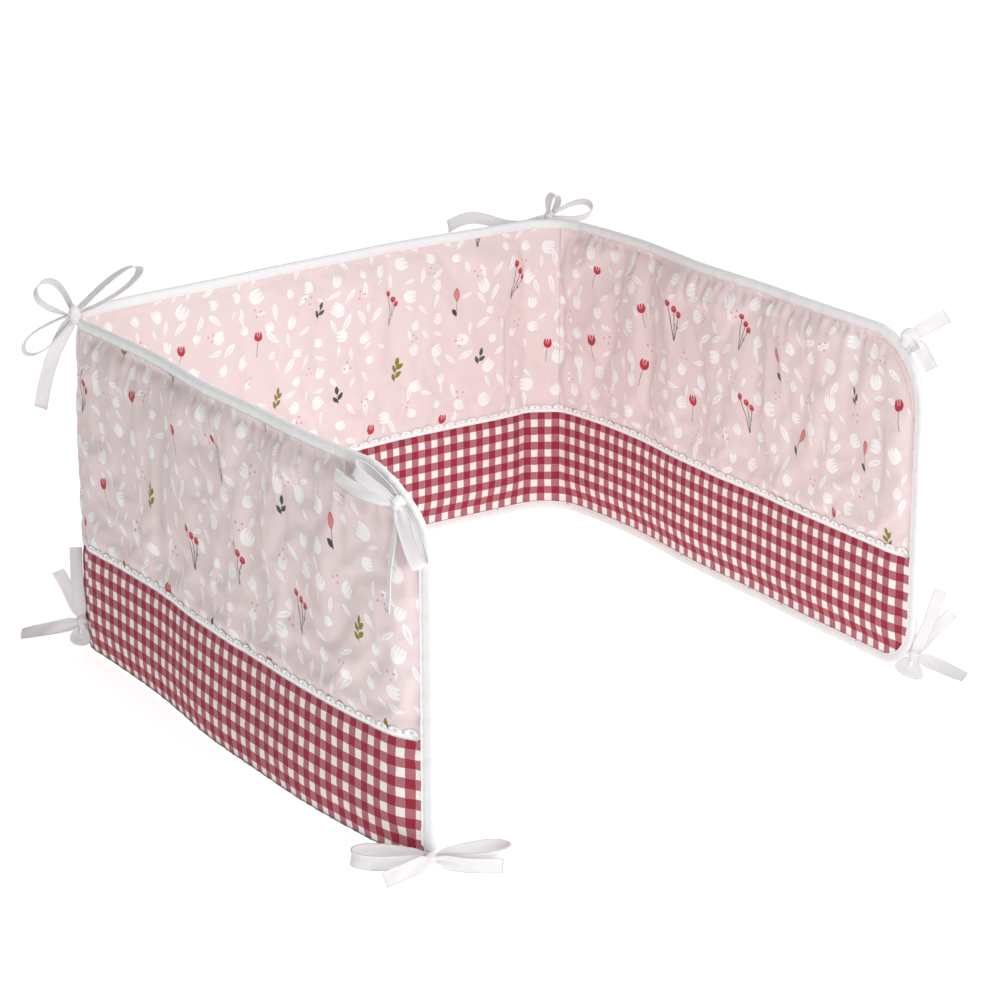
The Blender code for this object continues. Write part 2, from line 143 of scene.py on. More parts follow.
# Where creases start: edge, from, to (s, or z at the ends), face, spacing, length, depth
CREASES = (
    ("top", 0.050, 0.575, 1, 0.0150, 0.062, 0.0019),
    ("top", 0.050, 0.575, -1, 0.0220, 0.036, 0.0009),
    ("top", 0.625, 1.170, 1, 0.0260, 0.040, 0.0009),
    ("top", 0.625, 1.170, -1, 0.0330, 0.034, 0.0007),
    ("top", 1.216, 1.750, 1, 0.0220, 0.042, 0.0011),
    ("top", 1.216, 1.750, -1, 0.0135, 0.046, 0.0018),
    ("seam", 0.010, 1.790, 1, 0.0210, 0.022, 0.0005),
    ("seam", 0.010, 1.790, -1, 0.0240, 0.018, 0.0004),
    ("band", 0.010, 1.790, 1, 0.0260, 0.018, 0.0002),
    ("band", 0.010, 1.790, -1, 0.0280, 0.016, 0.0002),
    ("foot", 0.030, 1.750, 1, 0.0220, 0.022, 0.0003),
    ("foot", 0.030, 1.750, -1, 0.0240, 0.020, 0.0003),
    ("near_end", 0.030, 0.260, 1, 0.0190, 0.026, 0.0010),
    ("near_end", 0.030, 0.260, -1, 0.0200, 0.026, 0.0010),
    ("right_end", 0.050, 0.250, 1, 0.0200, 0.026, 0.0010),
    ("right_end", 0.050, 0.250, -1, 0.0170, 0.032, 0.0012),
)
# Long soft folds, listed one by one: s at the top and at the foot, z from, z to, width, depth, face
LONG_FOLDS = (
    (0.545, 0.552, 0.100, 0.300, 0.012, 0.0012, 1),
    (0.505, 0.498, 0.120, 0.300, 0.014, 0.0014, 1),
    (0.462, 0.448, 0.110, 0.298, 0.012, 0.0010, 1),
    (0.415, 0.402, 0.105, 0.298, 0.013, 0.0016, 1),
    (0.372, 0.350, 0.130, 0.298, 0.012, 0.0012, 1),
    (0.330, 0.300, 0.120, 0.298, 0.013, 0.0015, 1),
    (0.285, 0.262, 0.160, 0.298, 0.012, 0.0013, 1),
    (0.238, 0.205, 0.150, 0.298, 0.014, 0.0012, 1),
    (0.180, 0.160, 0.130, 0.290, 0.013, 0.0009, 1),
    (0.120, 0.116, 0.120, 0.280, 0.014, 0.0009, 1),
    (0.690, 0.700, 0.120, 0.290, 0.016, 0.0008, -1),
    (0.800, 0.790, 0.140, 0.300, 0.018, 0.0007, -1),
    (0.930, 0.940, 0.110, 0.300, 0.018, 0.0007, -1),
    (1.060, 1.050, 0.130, 0.300, 0.016, 0.0007, -1),
    (1.262, 1.268, 0.120, 0.298, 0.013, 0.0010, -1),
    (1.335, 1.345, 0.160, 0.298, 0.012, 0.0012, -1),
    (1.410, 1.402, 0.130, 0.298, 0.013, 0.0011, -1),
    (1.492, 1.505, 0.120, 0.298, 0.014, 0.0013, -1),
    (1.575, 1.585, 0.150, 0.298, 0.012, 0.0012, -1),
    (1.650, 1.640, 0.110, 0.290, 0.014, 0.0011, -1),
    (1.716, 1.722, 0.120, 0.270, 0.013, 0.0010, -1),
)

# ---------------------------------------------------------------- trim
CHECK = 0.0163  # the gingham's repeat
BINDING_WIDTH = 0.0094
END_WIDTH = 0.0112  # it is a little wider up the two ends
BINDING_CLOTH = 0.0010
BINDING_ROUND = 0.0030  # radius of its fold over the edge
BINDING_UV = 0.034  # width of the tape on its UV map
BINDING_STEP, BINDING_COLUMNS = 0.003, 25
FLANGE, BEND = 0.36, 0.28  # shares of its columns on each flange and in the fold
HEM_AT, HEM_SPREAD, HEM_DEEP = 0.80, 0.12, 0.0006  # the stitched groove beside each hem
PUCKER_FROM = 0.002  # puckers fade out nearer the cloth's edge line than this
# Puckers of the binding: size, length, start, slant across the tape
PUCKERS = (
    (0.00016, 0.0069, 0.3, 2.1),
    (0.00020, 0.0107, 1.2, -1.7),
    (0.00022, 0.0171, 2.9, 1.1),
    (0.00016, 0.0291, 4.0, -0.7),
)
SCALLOP = 0.0139  # width of one scallop of the lace
LACE_HEIGHT = 0.0072
LACE_FLAT = 0.010  # width that it was cut to
LACE_END = 0.012  # it stops this far from both ends
LACE_CLOTH, BAND_CLOTH = 0.0004, 1.6  # its thickness, and how much thicker its foot band is
LACE_LIFT = 0.0003  # off the cloth
LACE_BAND = (-0.0006, 0.0030)  # its foot band, from the seam
LACE_POINTS = 20  # round each ring of a scallop
LACE_WANDER, LACE_WANDER_TURN = 0.0004, 410.0  # how it wanders up and down
ARCH_HALF, ARCH_SQUARE = 0.49, 0.8  # a scallop's half width over its pitch, and how square it is
ARCH_WIDEST, ARCH_BELOW = 0.0028, 0.0012  # height of its widest place, and how far it goes below
EYE_HALF, EYE_UP = (0.0008, 0.0007), 0.0048  # half sizes and height of its hole
TAPE_WIDTH = 0.012
TAPE_CLOTH = 0.0011  # thickness at its hems
TAPE_HEM, TAPE_THINNER = 0.16, 0.18  # a hem's share of the width, and how much thinner it is inside
TAPE_COLUMNS, TAIL_STEPS, LOOP_STEPS = 11, 26, 46
LOOP_TAPE = 2.05  # tape in a loop for each length of its reach
KNOT_TAPE = 0.030  # tape that the knot takes up
KNOT = (0.0056, 0.0050, 0.0062)  # half sizes of the knot
KNOT_GRID = (21, 32)  # rings, and points round each
KNOT_HOLD = 0.003  # tapes start this far from the knot's middle
KNOT_REACH = 0.014  # and are at full width this far from it
GATHERED = 0.50  # share of the width in the knot
PLEAT, PLEAT_REACH, RIPPLE = 0.0011, 0.020, 0.0004  # pleats fade out this far from the knot
LOOP_APART = 0.0012  # a loop starts and ends this far to either side of the knot's middle
PETAL_INNER = 0.62  # how far out a petal's inner edge reaches, as a share of its length
BOW_TURN = -42.0  # degrees from the axes to the bows' own directions
# Each bow: its knot (s in m, distance out and height in mm), the knot's size, and its tapes as in the
# part: kind, end across, back and up, bulge, the width's direction, then bend, half waves and twist
BOWS = {
    "tie_left_top": ((0.575, 7.0, 315.0), (1.0, 1.0, 1.5), (
        ("loop", -31, 4, 26, 11, (0.75, -0.65, 0.0)),
        ("loop", -45, -2, -33, 8, (0.15, -1.0, 0.2)),
        ("loop", 53, 50, 31, 6.5, (0.5, -0.75, 0.1)),
        ("tail", -33, -4, -84, 4, (1.0, 0.1, -0.35), -5, 1, 0),
    )),
    "tie_back_top": ((1.2, 9.4, 311.0), 1.0, (
        ("tail", -103, -47, -1, -9, (0.0, 0.35, 1.0), -7, 2, 0),
        ("loop", 6, 2, 22, 5, (0.5, -0.85, 0.0)),
        ("loop", 44, 10, 7, 8, (-0.1, -0.8, 0.55)),
    )),
    "tie_right_top": ((1.775, 0.0, 305.0), (1.6, 1.2, 1.5), (
        ("tail", 33, 2, 19, 4, (-0.5, 0.1, 0.85)),
        ("tail", 22, 7, -30, 8, (0.5, -0.35, 0.8)),
        ("tail", 3, -14, -9, 1, (0.75, -0.1, 0.65)),
    )),
    "tie_right_foot": ((1.7988, 0.0, 19.0), 1.0, (
        ("tail", 22, 2, 61, 3, (0.94, 0.2, -0.3)),
        ("tail", 33, 2, 39, -3, (0.75, 0.2, -0.65)),
        ("petal", -7, -14, -15.4, 13, (0.0, 1.0, 0.0)),
        ("tail", 42, -27, -11, 2, (0.2, 0.0, 1.0), 0, 1, 60),
    )),
    "tie_left_foot": ((0.588, 8.5, 24.0), 1.0, (
        ("tail", -5, 10, 68, 3, (1.0, -0.3, 0.1)),
        ("tail", -21, 4, 47, -2, (0.85, -0.2, 0.4)),
        ("petal", -3, -7, -21, 12, (0.6, 0.8, 0.0)),
        ("tail", -58, 8, -15, 2, (-0.2, 0.0, 1.0), 0, 1, -60),
    )),
    "tie_back_foot": ((1.205, 8.0, 24.0), 1.0, (
        ("tail", 8, 12, 66, 3, (1.0, 0.3, -0.1)),
        ("petal", 0, 7, -21, 12, (0.0, 1.0, 0.0)),
        ("tail", -50, 12, -12, 2, (0.2, 0.0, 1.0), 0, 1, 60),
    )),
    "tie_near_top": ((0.024, 8.8, 285.5), 1.0, (
        ("tail", -49, 53, 6, 8, (0.0, 0.1, 1.0)),
        ("loop", -32, 28, 20, 4, (0.4, -0.5, 0.75)),
        ("tail", -9, -1, -84, 0, (0.25, -1.0, 0.0), -4, 1, 0),
        ("loop", 17, -21, -43, 4, (0.9, -0.35, 0.35)),
    )),
    "tie_near_foot": ((0.0, 9.0, 6.4), 1.0, (
        ("loop", -61, 6, 0, 11, (0.0, 0.0, 1.0)),
        ("tail", -34, -38, 0, 3, (-0.3, 0.3, 0.9)),
        ("loop", 60, 17, 0, 11, (0.0, 0.0, 1.0)),
        ("tail", 55, -12, 0, -5, (0.0, 0.0, 1.0)),
    )),
}

# ---------------------------------------------------------------- paints and stage
# Lattices of the print in mm: cell width, height, seed, wander, turn and range of size
FLOWER_CELL = (88.0, 70.0, 3.0, 15.0, 0.4, 0.10)
CUP_CELL = (31.0, 30.0, 1.0, 4.0, 1.7, 0.30)
LEAF_CELL = (19.0, 30.0, 2.0, 3.5, 1.4, 0.36)
DOT_CELL = (70.0, 59.0, 8.0, 12.0, 1.5, 0.10)
# Sizes of its motifs in mm: length and half width, and before them a cup's petals, or a fan's
# petals and the angle between them
WHITE_CUP, RED_CUP = (12.4, 5.5), (3.0, 10.5, 5.0)
WHITE_LEAF = (15.0, 2.4, 0.24)  # and its slit
CUP_LINES = (2.0, 0.5, 4.5, 0.5)
CORAL_BUD, INNER_BUD, FOOT_LEAF, SPRIG_LEAF = (14.5, 3.6), (11.8, 2.9), (9.5, 2.6), (8.8, 2.3)
THREAD, BINDING_THREAD = 0.55, 0.5  # from thread to thread of the weaves
WHITE_PAINT = (0.93, 0.935, 0.925)
DOT_PAINT = (0.66, 0.23, 0.29)
STEM_PAINT = (0.060, 0.065, 0.068)
GREY_LOW, GREY_HIGH = (0.055, 0.060, 0.065), (0.14, 0.17, 0.17)
OLIVE_PAINT = (0.245, 0.215, 0.020)
TWIG_PAINT = (0.09, 0.10, 0.10)
BERRY_BUD_PAINT = (0.14, 0.23, 0.21)
RED_BRIGHT = (0.56, 0.055, 0.075)
SHINE_PAINT = (0.80, 0.40, 0.42)
CORAL_PAINT = (0.48, 0.085, 0.095)
INNER_LOW, INNER_HIGH = (0.70, 0.28, 0.24), (0.66, 0.20, 0.20)
CHECK_WHITE = (0.92, 0.875, 0.84)
# The second colour is painted shade, greyed into the binding's stitched groove between the stitches
STITCH_PAINT, GROOVE_SHADE_PAINT = (0.90, 0.90, 0.88), (0.60, 0.61, 0.60)
LACE_WHITES = ((0.94, 0.945, 0.94), (0.97, 0.975, 0.97))
TAPE_WHITES = ((0.76, 0.735, 0.745), (0.85, 0.825, 0.830))
FLOOR_WHITE = (0.93, 0.93, 0.93, 1.0)
FLOOR_REACH, FLOOR_LEVEL = 40.0, -0.0002
# Soft lights: name, place, what it points at, size, and the setting that holds its power
LIGHTS = (
    ("top_light", (-0.15, -0.45, 1.05), (0.15, 0.10, 0.15), 0.9, "key_power"),
    ("front_light", (-0.90, -1.90, 0.45), (-0.05, 0.0, 0.15), 0.6, "fill_power"),
)
CAMERA_PLACE = (-1.7014, -1.8880, 0.9373)
CAMERA_TURN = (72.81, 0.0, -42.07)  # degrees about x, y and z


# ---------------------------------------------------------------- the plan and the wall
def stretch_starts():
    """Distance, place, heading and curvature at which each arc of the plan starts."""
    s, x, y, heading = 0.0, *START, math.radians(START_HEADING)
    rows = []
    for _, length, turn in STRETCHES:
        bend = math.radians(turn)
        rows.append((s, x, y, heading, bend / length))
        chord = length * math.sin(bend / 2) / (bend / 2)
        x += chord * math.cos(heading + bend / 2)
        y += chord * math.sin(heading + bend / 2)
        heading += bend
        s += length
    return np.array(rows)


STARTS = stretch_starts()
NEAR_LENGTH = sum(row[1] for row in STRETCHES[:4])
MID_START = sum(row[1] for row in STRETCHES[:7])
MID_END = MID_START + STRETCHES[7][1]


def clipped(value):
    """A value kept between 0 and 1."""
    return np.clip(value, 0.0, 1.0)


def bell(distance, spread):
    """A bell curve: 1 where the distance is 0, and 1 / e where it is the spread."""
    return np.exp(-((distance / spread) ** 2))


def eased(share):
    """A share from 0 to 1 that starts and ends softly: 3 t squared less 2 t cubed."""
    return share * share * (3 - 2 * share)


def on_wall(s, z, out):
    """Points of the standing wall: the arc's chord at s, pushed along its normal by sway and out."""
    s, z, out = np.broadcast_arrays(np.asarray(s, float), z, out)
    kept = np.clip(s, 0.0, LENGTH)
    index = np.clip(np.searchsorted(STARTS[:, 0], kept, side="right") - 1, 0, len(STARTS) - 1)
    s0, x0, y0, heading, curvature = np.moveaxis(STARTS[index], -1, 0)
    half = curvature * (kept - s0) / 2
    chord = (kept - s0) * np.sinc(half / math.pi)
    ahead = heading + 2 * half
    reach = out + sway(s, z)
    x = x0 + chord * np.cos(heading + half) - reach * np.sin(ahead)
    y = y0 + chord * np.sin(heading + half) + reach * np.cos(ahead)
    return np.stack((x, y, z), -1)


def sway(s, z):
    """How far the wall's middle stands out: slow waves, the near foot and seam, the mid lean."""
    up = z / HEIGHT
    reach = 0.0
    for length, foot, top, start in SWAYS:
        reach = reach + (foot + (top - foot) * up) * np.sin(2 * math.pi * s / length + start)
    near = np.sin(math.pi * np.minimum(1.0, s / NEAR_LENGTH))
    mid = np.maximum(0.0, 1.0 - (2 * (s - MID_START) / (MID_END - MID_START) - 1.0) ** 2)
    reach = reach - NEAR_SEAM_IN * near * bell(z - SEAM[1], NEAR_SEAM_SPREAD)
    return reach + NEAR_FOOT_OUT * near * (1.0 - up) ** 2 + MID_LEAN * mid * np.abs(up) ** 1.5


def corner_inset(z, inward, foot_corner):
    """How far the rounded end lies in from a square one: radius less the circle's half chord."""
    inset = np.zeros_like(z)
    for radius, depth in ((TOP_CORNER, HEIGHT - z), (foot_corner, z)):
        round_off = radius - inward
        drop = np.clip(radius - depth, 0.0, round_off)
        inset = np.maximum(inset, round_off - np.sqrt(round_off**2 - drop**2))
    return inset


def settled(s, z):
    """s with the columns near both ends closed up to follow the rounded corners."""
    near = MARGIN + corner_inset(z, MARGIN, NEAR_FOOT_CORNER)
    right = MARGIN + corner_inset(z, MARGIN, RIGHT_FOOT_CORNER)
    near = near * np.maximum(0.0, 1.0 - s / END_WARP)
    return s + near - right * np.maximum(0.0, 1.0 - (LENGTH - s) / END_WARP)


def from_outline(s, z):
    """Distance to the outline: the nearest side, or the corner's circle where it is nearer."""
    from_end = np.minimum(s, LENGTH - s)
    foot = np.where(s < LENGTH / 2, NEAR_FOOT_CORNER, RIGHT_FOOT_CORNER)
    distance = np.minimum(np.minimum(from_end, z), HEIGHT - z)
    for radius, depth in ((TOP_CORNER, HEIGHT - z), (foot, z)):
        at_corner = (from_end < radius) & (depth < radius)
        rounded = radius - np.hypot(radius - from_end, radius - depth)
        distance = np.where(at_corner, np.minimum(distance, rounded), distance)
    return distance


def half_thickness(s, z, side):
    """Half the padding: a quarter sine in from the edge, pinched at seams, with soft folds."""
    from_end = np.minimum(s, LENGTH - s)
    outer = clipped((from_end - FOOT_EASE) / FOOT_EASE) * (side > 0)
    flat = FLAT_EDGE * (1.0 - clipped(1.0 - z / FOOT_EASE) * outer)
    low = clipped((FOOT_TOP - z) / (2 * FOOT_EASE)) * outer
    rounding = FILL_ROUND + (FOOT_ROUND - FILL_ROUND) * low
    crown = np.sin(math.pi / 2 * clipped((from_outline(s, z) - flat) / rounding))
    crown = crown * (1.0 - SEAM_PINCH * bell(z - SEAM[side], SEAM_SPREAD))
    for line in HINGE_LINES:
        crown = crown * (1.0 - HINGE_PINCH * bell(s - line, HINGE_SPREAD))
    folds = sum(size * np.sin(2 * math.pi * s / width + start + side) for width, size, start in FOLDS)
    return EDGE / 2 + crown * ((CROWN - EDGE) / 2 + folds * z / HEIGHT)


# ---------------------------------------------------------------- creases
def scattered_creases():
    """Start, direction, length, width and depth of every short crease, from the table and a seed."""
    rng = np.random.default_rng(CREASE_SEED)
    start = HELD_EDGE - 0.001
    rows = []
    for edge, low, high, side, spacing, length, depth in CREASES:
        count = int((high - low) / spacing)
        place = low + (np.arange(count) + rng.uniform(*CREASE_PLACE, count)) * (high - low) / count
        slant = rng.uniform(*CREASE_SLANT, count)
        run = length * rng.uniform(*CREASE_RUN, count)
        width = np.minimum(spacing * rng.uniform(*CREASE_WIDTH, count), CREASE_WIDEST)
        deep = depth * rng.uniform(*CREASE_DEPTH, count)
        line, inward = {
            "top": (HEIGHT - start, -1.0),
            "foot": (start, 1.0),
            "seam": (SEAM[side], 1.0),
            "band": (SEAM[side], -1.0),
            "near_end": (start, 1.0),
            "right_end": (LENGTH - start, -1.0),
        }[edge]
        line, inward = np.full(count, line), np.full(count, inward)
        if edge.endswith("end"):
            s0, z0, ds, dz = line, place, inward, slant
        else:
            s0, z0, ds, dz = place, line, slant, inward
        size = np.hypot(ds, dz)
        sides = np.full(count, float(side))
        rows.append(np.stack((s0, z0, ds / size, dz / size, run, width, deep, sides), 1))
    return np.concatenate(rows)


def crease_height(s, z, side):
    """Sum over creases of a valley with two soft shoulders, fading out along its run."""
    height = np.zeros_like(s)
    for s0, z0, ds, dz, run, width, deep, face in scattered_creases():
        reach = run + CREASE_ROOM
        near = (np.abs(s - s0) < reach) & (np.abs(z - z0) < reach) & (side * face > 0)
        along = ((s[near] - s0) * ds + (z[near] - z0) * dz) / run
        across = (s[near] - s0) * dz - (z[near] - z0) * ds
        width = width * (0.8 + 0.7 * clipped(along))
        fade = clipped(along / 0.10 + 0.3) * clipped(1.0 - along) ** 1.4
        shoulders = 0.55 * bell(np.abs(across) - 1.9 * width, width)
        height[near] += deep * fade * (shoulders - bell(across, width))
    for top, foot, low, high, width, deep, face in LONG_FOLDS:
        share = (z - low) / (high - low)
        across = s - (foot + (top - foot) * share)
        fade = clipped(share * 2.2) * clipped((1.0 - share) * 12.0)
        fade = np.where(side * face > 0, eased(fade), 0.0)
        height += deep * fade * (bell(across, width) - 0.6 * bell(across - 1.7 * width, width))
    return height


# ---------------------------------------------------------------- meshes
def grid_faces(rows, columns, first=0, closed=False):
    """Quads of a grid of rows by columns, as an index array; a closed grid wraps its columns."""
    index = first + np.arange(rows * columns).reshape(rows, columns)
    if closed:
        index = np.concatenate((index, index[:, :1]), 1)
    quads = (index[:-1, :-1], index[:-1, 1:], index[1:, 1:], index[1:, :-1])
    return np.stack(quads, -1).reshape(-1, 4)


def sheet_faces(rows, columns, closed=False):
    """Two layers of a grid, front then back, and the rim that joins them, facing outwards."""
    front = grid_faces(rows, columns, 0, closed)
    back = grid_faces(rows, columns, rows * columns, closed)[:, ::-1]
    index = np.arange(rows * columns).reshape(rows, columns)
    edges = [index[0, ::-1], index[-1, :]]
    if closed:
        edges = [np.append(edge, edge[0]) for edge in edges]
    else:
        edges += [index[:, 0], index[::-1, -1]]
    shift = rows * columns
    rims = [np.stack((e[1:], e[:-1], e[:-1] + shift, e[1:] + shift), 1) for e in edges]
    return np.concatenate([front, back, *rims])


def into_object(name, points, faces, material, uv=None):
    """Puts points and a list of faces into a smooth object at the origin, with its cloth UV map."""
    mesh = bpy.data.meshes.new(name)
    mesh.from_pydata(np.asarray(points).reshape(-1, 3).tolist(), [], faces)
    if uv is not None:
        mesh.uv_layers.new(name="Cloth").data.foreach_set("uv", uv.reshape(-1))
    mesh.materials.append(material)
    mesh.shade_smooth()
    mesh.update()
    piece = bpy.data.objects.new(name, mesh)
    bpy.context.collection.objects.link(piece)
    return piece


def read_rows(items, key, width=3, kind=float):
    """One property of every item, as the rows of an array."""
    values = np.empty(len(items) * width, dtype=kind)
    items.foreach_get(key, values)
    return values.reshape(-1, width)


def outward(piece):
    """Turns the faces of a closed piece outwards, judged by its signed volume."""
    mesh = piece.data
    mesh.calc_loop_triangles()
    corners = read_rows(mesh.loop_triangles, "vertices", kind=np.int32)
    a, b, c = read_rows(mesh.vertices, "co")[corners].transpose(1, 0, 2)
    if np.einsum("ij,ij->", a, np.cross(b, c)) < 0.0:
        mesh.flip_normals()
    return piece


# ---------------------------------------------------------------- the padded panels
# One record for each pad: its points' s, z, side and reach out of the wall, for what lies on it
PADS = {}
CLOTH_KEYS = ("cloth_s", "cloth_z", "cloth_side")


def pad_grid(low, high, foot, top):
    """A pad's own cloth coordinates by side, then s, z and side, then row and column."""
    columns = round((high - low) / GRID) + 1
    rows = round((top[1] - foot[1]) / GRID) + 1
    share = np.linspace(0.0, 1.0, rows)[:, None]
    faces = []
    for side in (1, -1):
        up = foot[side] + (top[side] - foot[side]) * share
        s, z = np.broadcast_arrays(np.linspace(low, high, columns), up)
        faces.append((settled(s, z), z, np.full(z.shape, float(side))))
    return np.stack(faces)


def bake_layout(rows, columns, width, height):
    """Places on the OFBake UV map: both faces and the four rims side by side in one square."""
    scale = 1.0 / max(width + 2 * BAKE_GAP, 2 * height + 4 * BAKE_RIM + 7 * BAKE_GAP)
    quads = grid_faces(rows, columns)
    u, v = np.meshgrid(np.linspace(0.0, width, columns), np.linspace(0.0, height, rows))
    corners = []
    for face, order in enumerate((quads, quads[:, ::-1])):
        uv = np.stack((u + BAKE_GAP, v + BAKE_GAP + face * (height + BAKE_GAP)), -1)
        corners.append(uv.reshape(-1, 2)[order])
    base = 2 * (height + BAKE_GAP) + BAKE_GAP
    for number, (count, run) in enumerate(((columns, width),) * 2 + ((rows, height),) * 2):
        x = np.linspace(0.0, run, count) + BAKE_GAP
        row = np.stack((x, np.full(count, base + number * (BAKE_RIM + BAKE_GAP))), 1)
        up = row + (0.0, BAKE_RIM)
        corners.append(np.stack((row[1:], row[:-1], up[:-1], up[1:]), 1))
    return np.concatenate(corners).reshape(-1, 2) * scale


def make_pad(name, low, high, foot, top, material, origin):
    """A closed pad: points of both faces on the wall at half the padding, joined by a rim."""
    cloth = pad_grid(low, high, foot, top)
    rows, columns = cloth.shape[2:]
    points = [
        on_wall(s, z, side * half_thickness(s, z, side)) for side, (s, z, _) in zip((1, -1), cloth)
    ]
    faces = sheet_faces(rows, columns)
    flat = cloth.transpose(0, 2, 3, 1).reshape(-1, 3)
    # the inner face's pattern runs the other way, from a place of its own
    u = np.where(flat[:, 2] > 0, flat[:, 0], INNER_START - flat[:, 0])
    v = flat[:, 1] - np.where(flat[:, 2] > 0, origin[1], origin[-1])
    uv = np.stack((u, v), 1)[faces.reshape(-1)]
    piece = into_object(name, np.stack(points), faces.tolist(), material, uv)
    layout = bake_layout(rows, columns, high - low, top[1] - foot[1])
    piece.data.uv_layers.new(name="OFBake").data.foreach_set("uv", layout.reshape(-1))
    for number, key in enumerate(CLOTH_KEYS):
        store = piece.data.attributes.new(key, "FLOAT", "POINT")
        store.data.foreach_set("value", np.ascontiguousarray(flat[:, number]))
    return outward(piece)


def cloth_values(mesh):
    """The cloth coordinates kept on a pad's vertices: s, z and side."""
    kept = [read_rows(mesh.attributes[key].data, "value", 1, np.float32) for key in CLOTH_KEYS]
    return [values[:, 0].astype(float) for values in kept]


def hold_weights(piece):
    """How firmly each point is held: by binding, seams and hinge lines wholly, elsewhere a little."""
    s, z, side = cloth_values(piece.data)
    seam = np.where(side > 0, SEAM[1], SEAM[-1])
    held = (from_outline(s, z) < HELD_EDGE) | (np.abs(z - seam) < SEAM_HELD)
    for line in HINGE_LINES:
        held |= np.abs(s - line) < HINGE_HELD
    faded = clipped(1.0 - (z - seam) / SEAM_EASE) ** 2
    free = np.where(z > seam, PRINT_HOLD + (CHECK_HOLD - PRINT_HOLD) * faded, CHECK_HOLD)
    return np.round(np.where(held, 1.0, free), 2)


def swell(pieces):
    """Cloth simulation: the held seams stay, the wadding presses the slightly long cloth out."""
    rest = {}
    for piece in pieces:
        weights = hold_weights(piece)
        group = piece.vertex_groups.new(name="held")
        for weight in np.unique(weights):
            group.add(np.flatnonzero(weights == weight).tolist(), float(weight), "REPLACE")
        cloth = piece.modifiers.new("swell", "CLOTH")
        for key, value in SWELL_CLOTH.items():
            setattr(cloth.settings, key, value)
        cloth.settings.effector_weights.gravity = 0.0
        cloth.point_cache.frame_start = 1
        cloth.point_cache.frame_end = SWELL_FRAMES
        rest[piece.name] = read_rows(piece.data.vertices, "co")
    for number in range(1, SWELL_FRAMES + 1):
        bpy.context.scene.frame_set(number)
    graph = bpy.context.evaluated_depsgraph_get()
    for piece in pieces:
        step = read_rows(piece.evaluated_get(graph).data.vertices, "co") - rest[piece.name]
        size = np.linalg.norm(step, axis=1, keepdims=True)
        step *= np.minimum(1.0, SWELL_LIMIT / np.maximum(size, 1e-9))
        piece.modifiers.clear()
        piece.vertex_groups.clear()
        piece.data.vertices.foreach_set("co", (rest[piece.name] + step).reshape(-1))
        piece.data.update()
    bpy.context.scene.frame_set(1)


def refine(piece):
    """One subdivision, then each point is pushed along its normal by the creases' height."""
    finer = piece.modifiers.new("finer", "SUBSURF")
    finer.levels = finer.render_levels = 1
    graph = bpy.context.evaluated_depsgraph_get()
    mesh = bpy.data.meshes.new_from_object(piece.evaluated_get(graph), depsgraph=graph)
    piece.modifiers.clear()
    old = piece.data
    piece.data = mesh
    bpy.data.meshes.remove(old)
    mesh.name = piece.name
    s, z, side = cloth_values(mesh)
    free = clipped((from_outline(s, z) - CREASE_FROM) / CREASE_RISE) * np.abs(side)
    push = crease_height(s, z, np.sign(side)) * free
    points = read_rows(mesh.vertices, "co") + read_rows(mesh.vertex_normals, "vector") * push[:, None]
    mesh.vertices.foreach_set("co", points.reshape(-1))
    mesh.shade_smooth()
    mesh.update()
    centre = on_wall(s, z, 0.0)
    towards = on_wall(s, z, 1.0) - centre
    PADS[piece.name] = (s, z, side, np.einsum("ij,ij->i", points - centre, towards))


def surface_out(s, z, side):
    """The padding's reach at s and z on one face, averaged from the pads' points in small cells."""
    rows = [np.stack(pad[:2] + pad[3:], 1)[pad[2] * side > 0.5] for pad in PADS.values()]
    known = np.concatenate(rows)
    across, up = int(LENGTH / REACH_CELL) + 1, int(HEIGHT / REACH_CELL) + 1
    index = np.clip((known[:, 0] / REACH_CELL).astype(int), 0, across - 1) * up
    index += np.clip((known[:, 1] / REACH_CELL).astype(int), 0, up - 1)
    total = np.bincount(index, known[:, 2], across * up)
    count = np.bincount(index, minlength=across * up)
    mean = (total / np.maximum(count, 1)).reshape(across, up)
    # 1.001 keeps the next cell's index inside the table
    x = np.clip(s / REACH_CELL - 0.5, 0.0, across - 1.001)
    y = np.clip(z / REACH_CELL - 0.5, 0.0, up - 1.001)
    i, j = x.astype(int), y.astype(int)
    a, b = x - i, y - j
    low = mean[i, j] * (1 - b) + mean[i, j + 1] * b
    high = mean[i + 1, j] * (1 - b) + mean[i + 1, j + 1] * b
    return low * (1 - a) + high * a


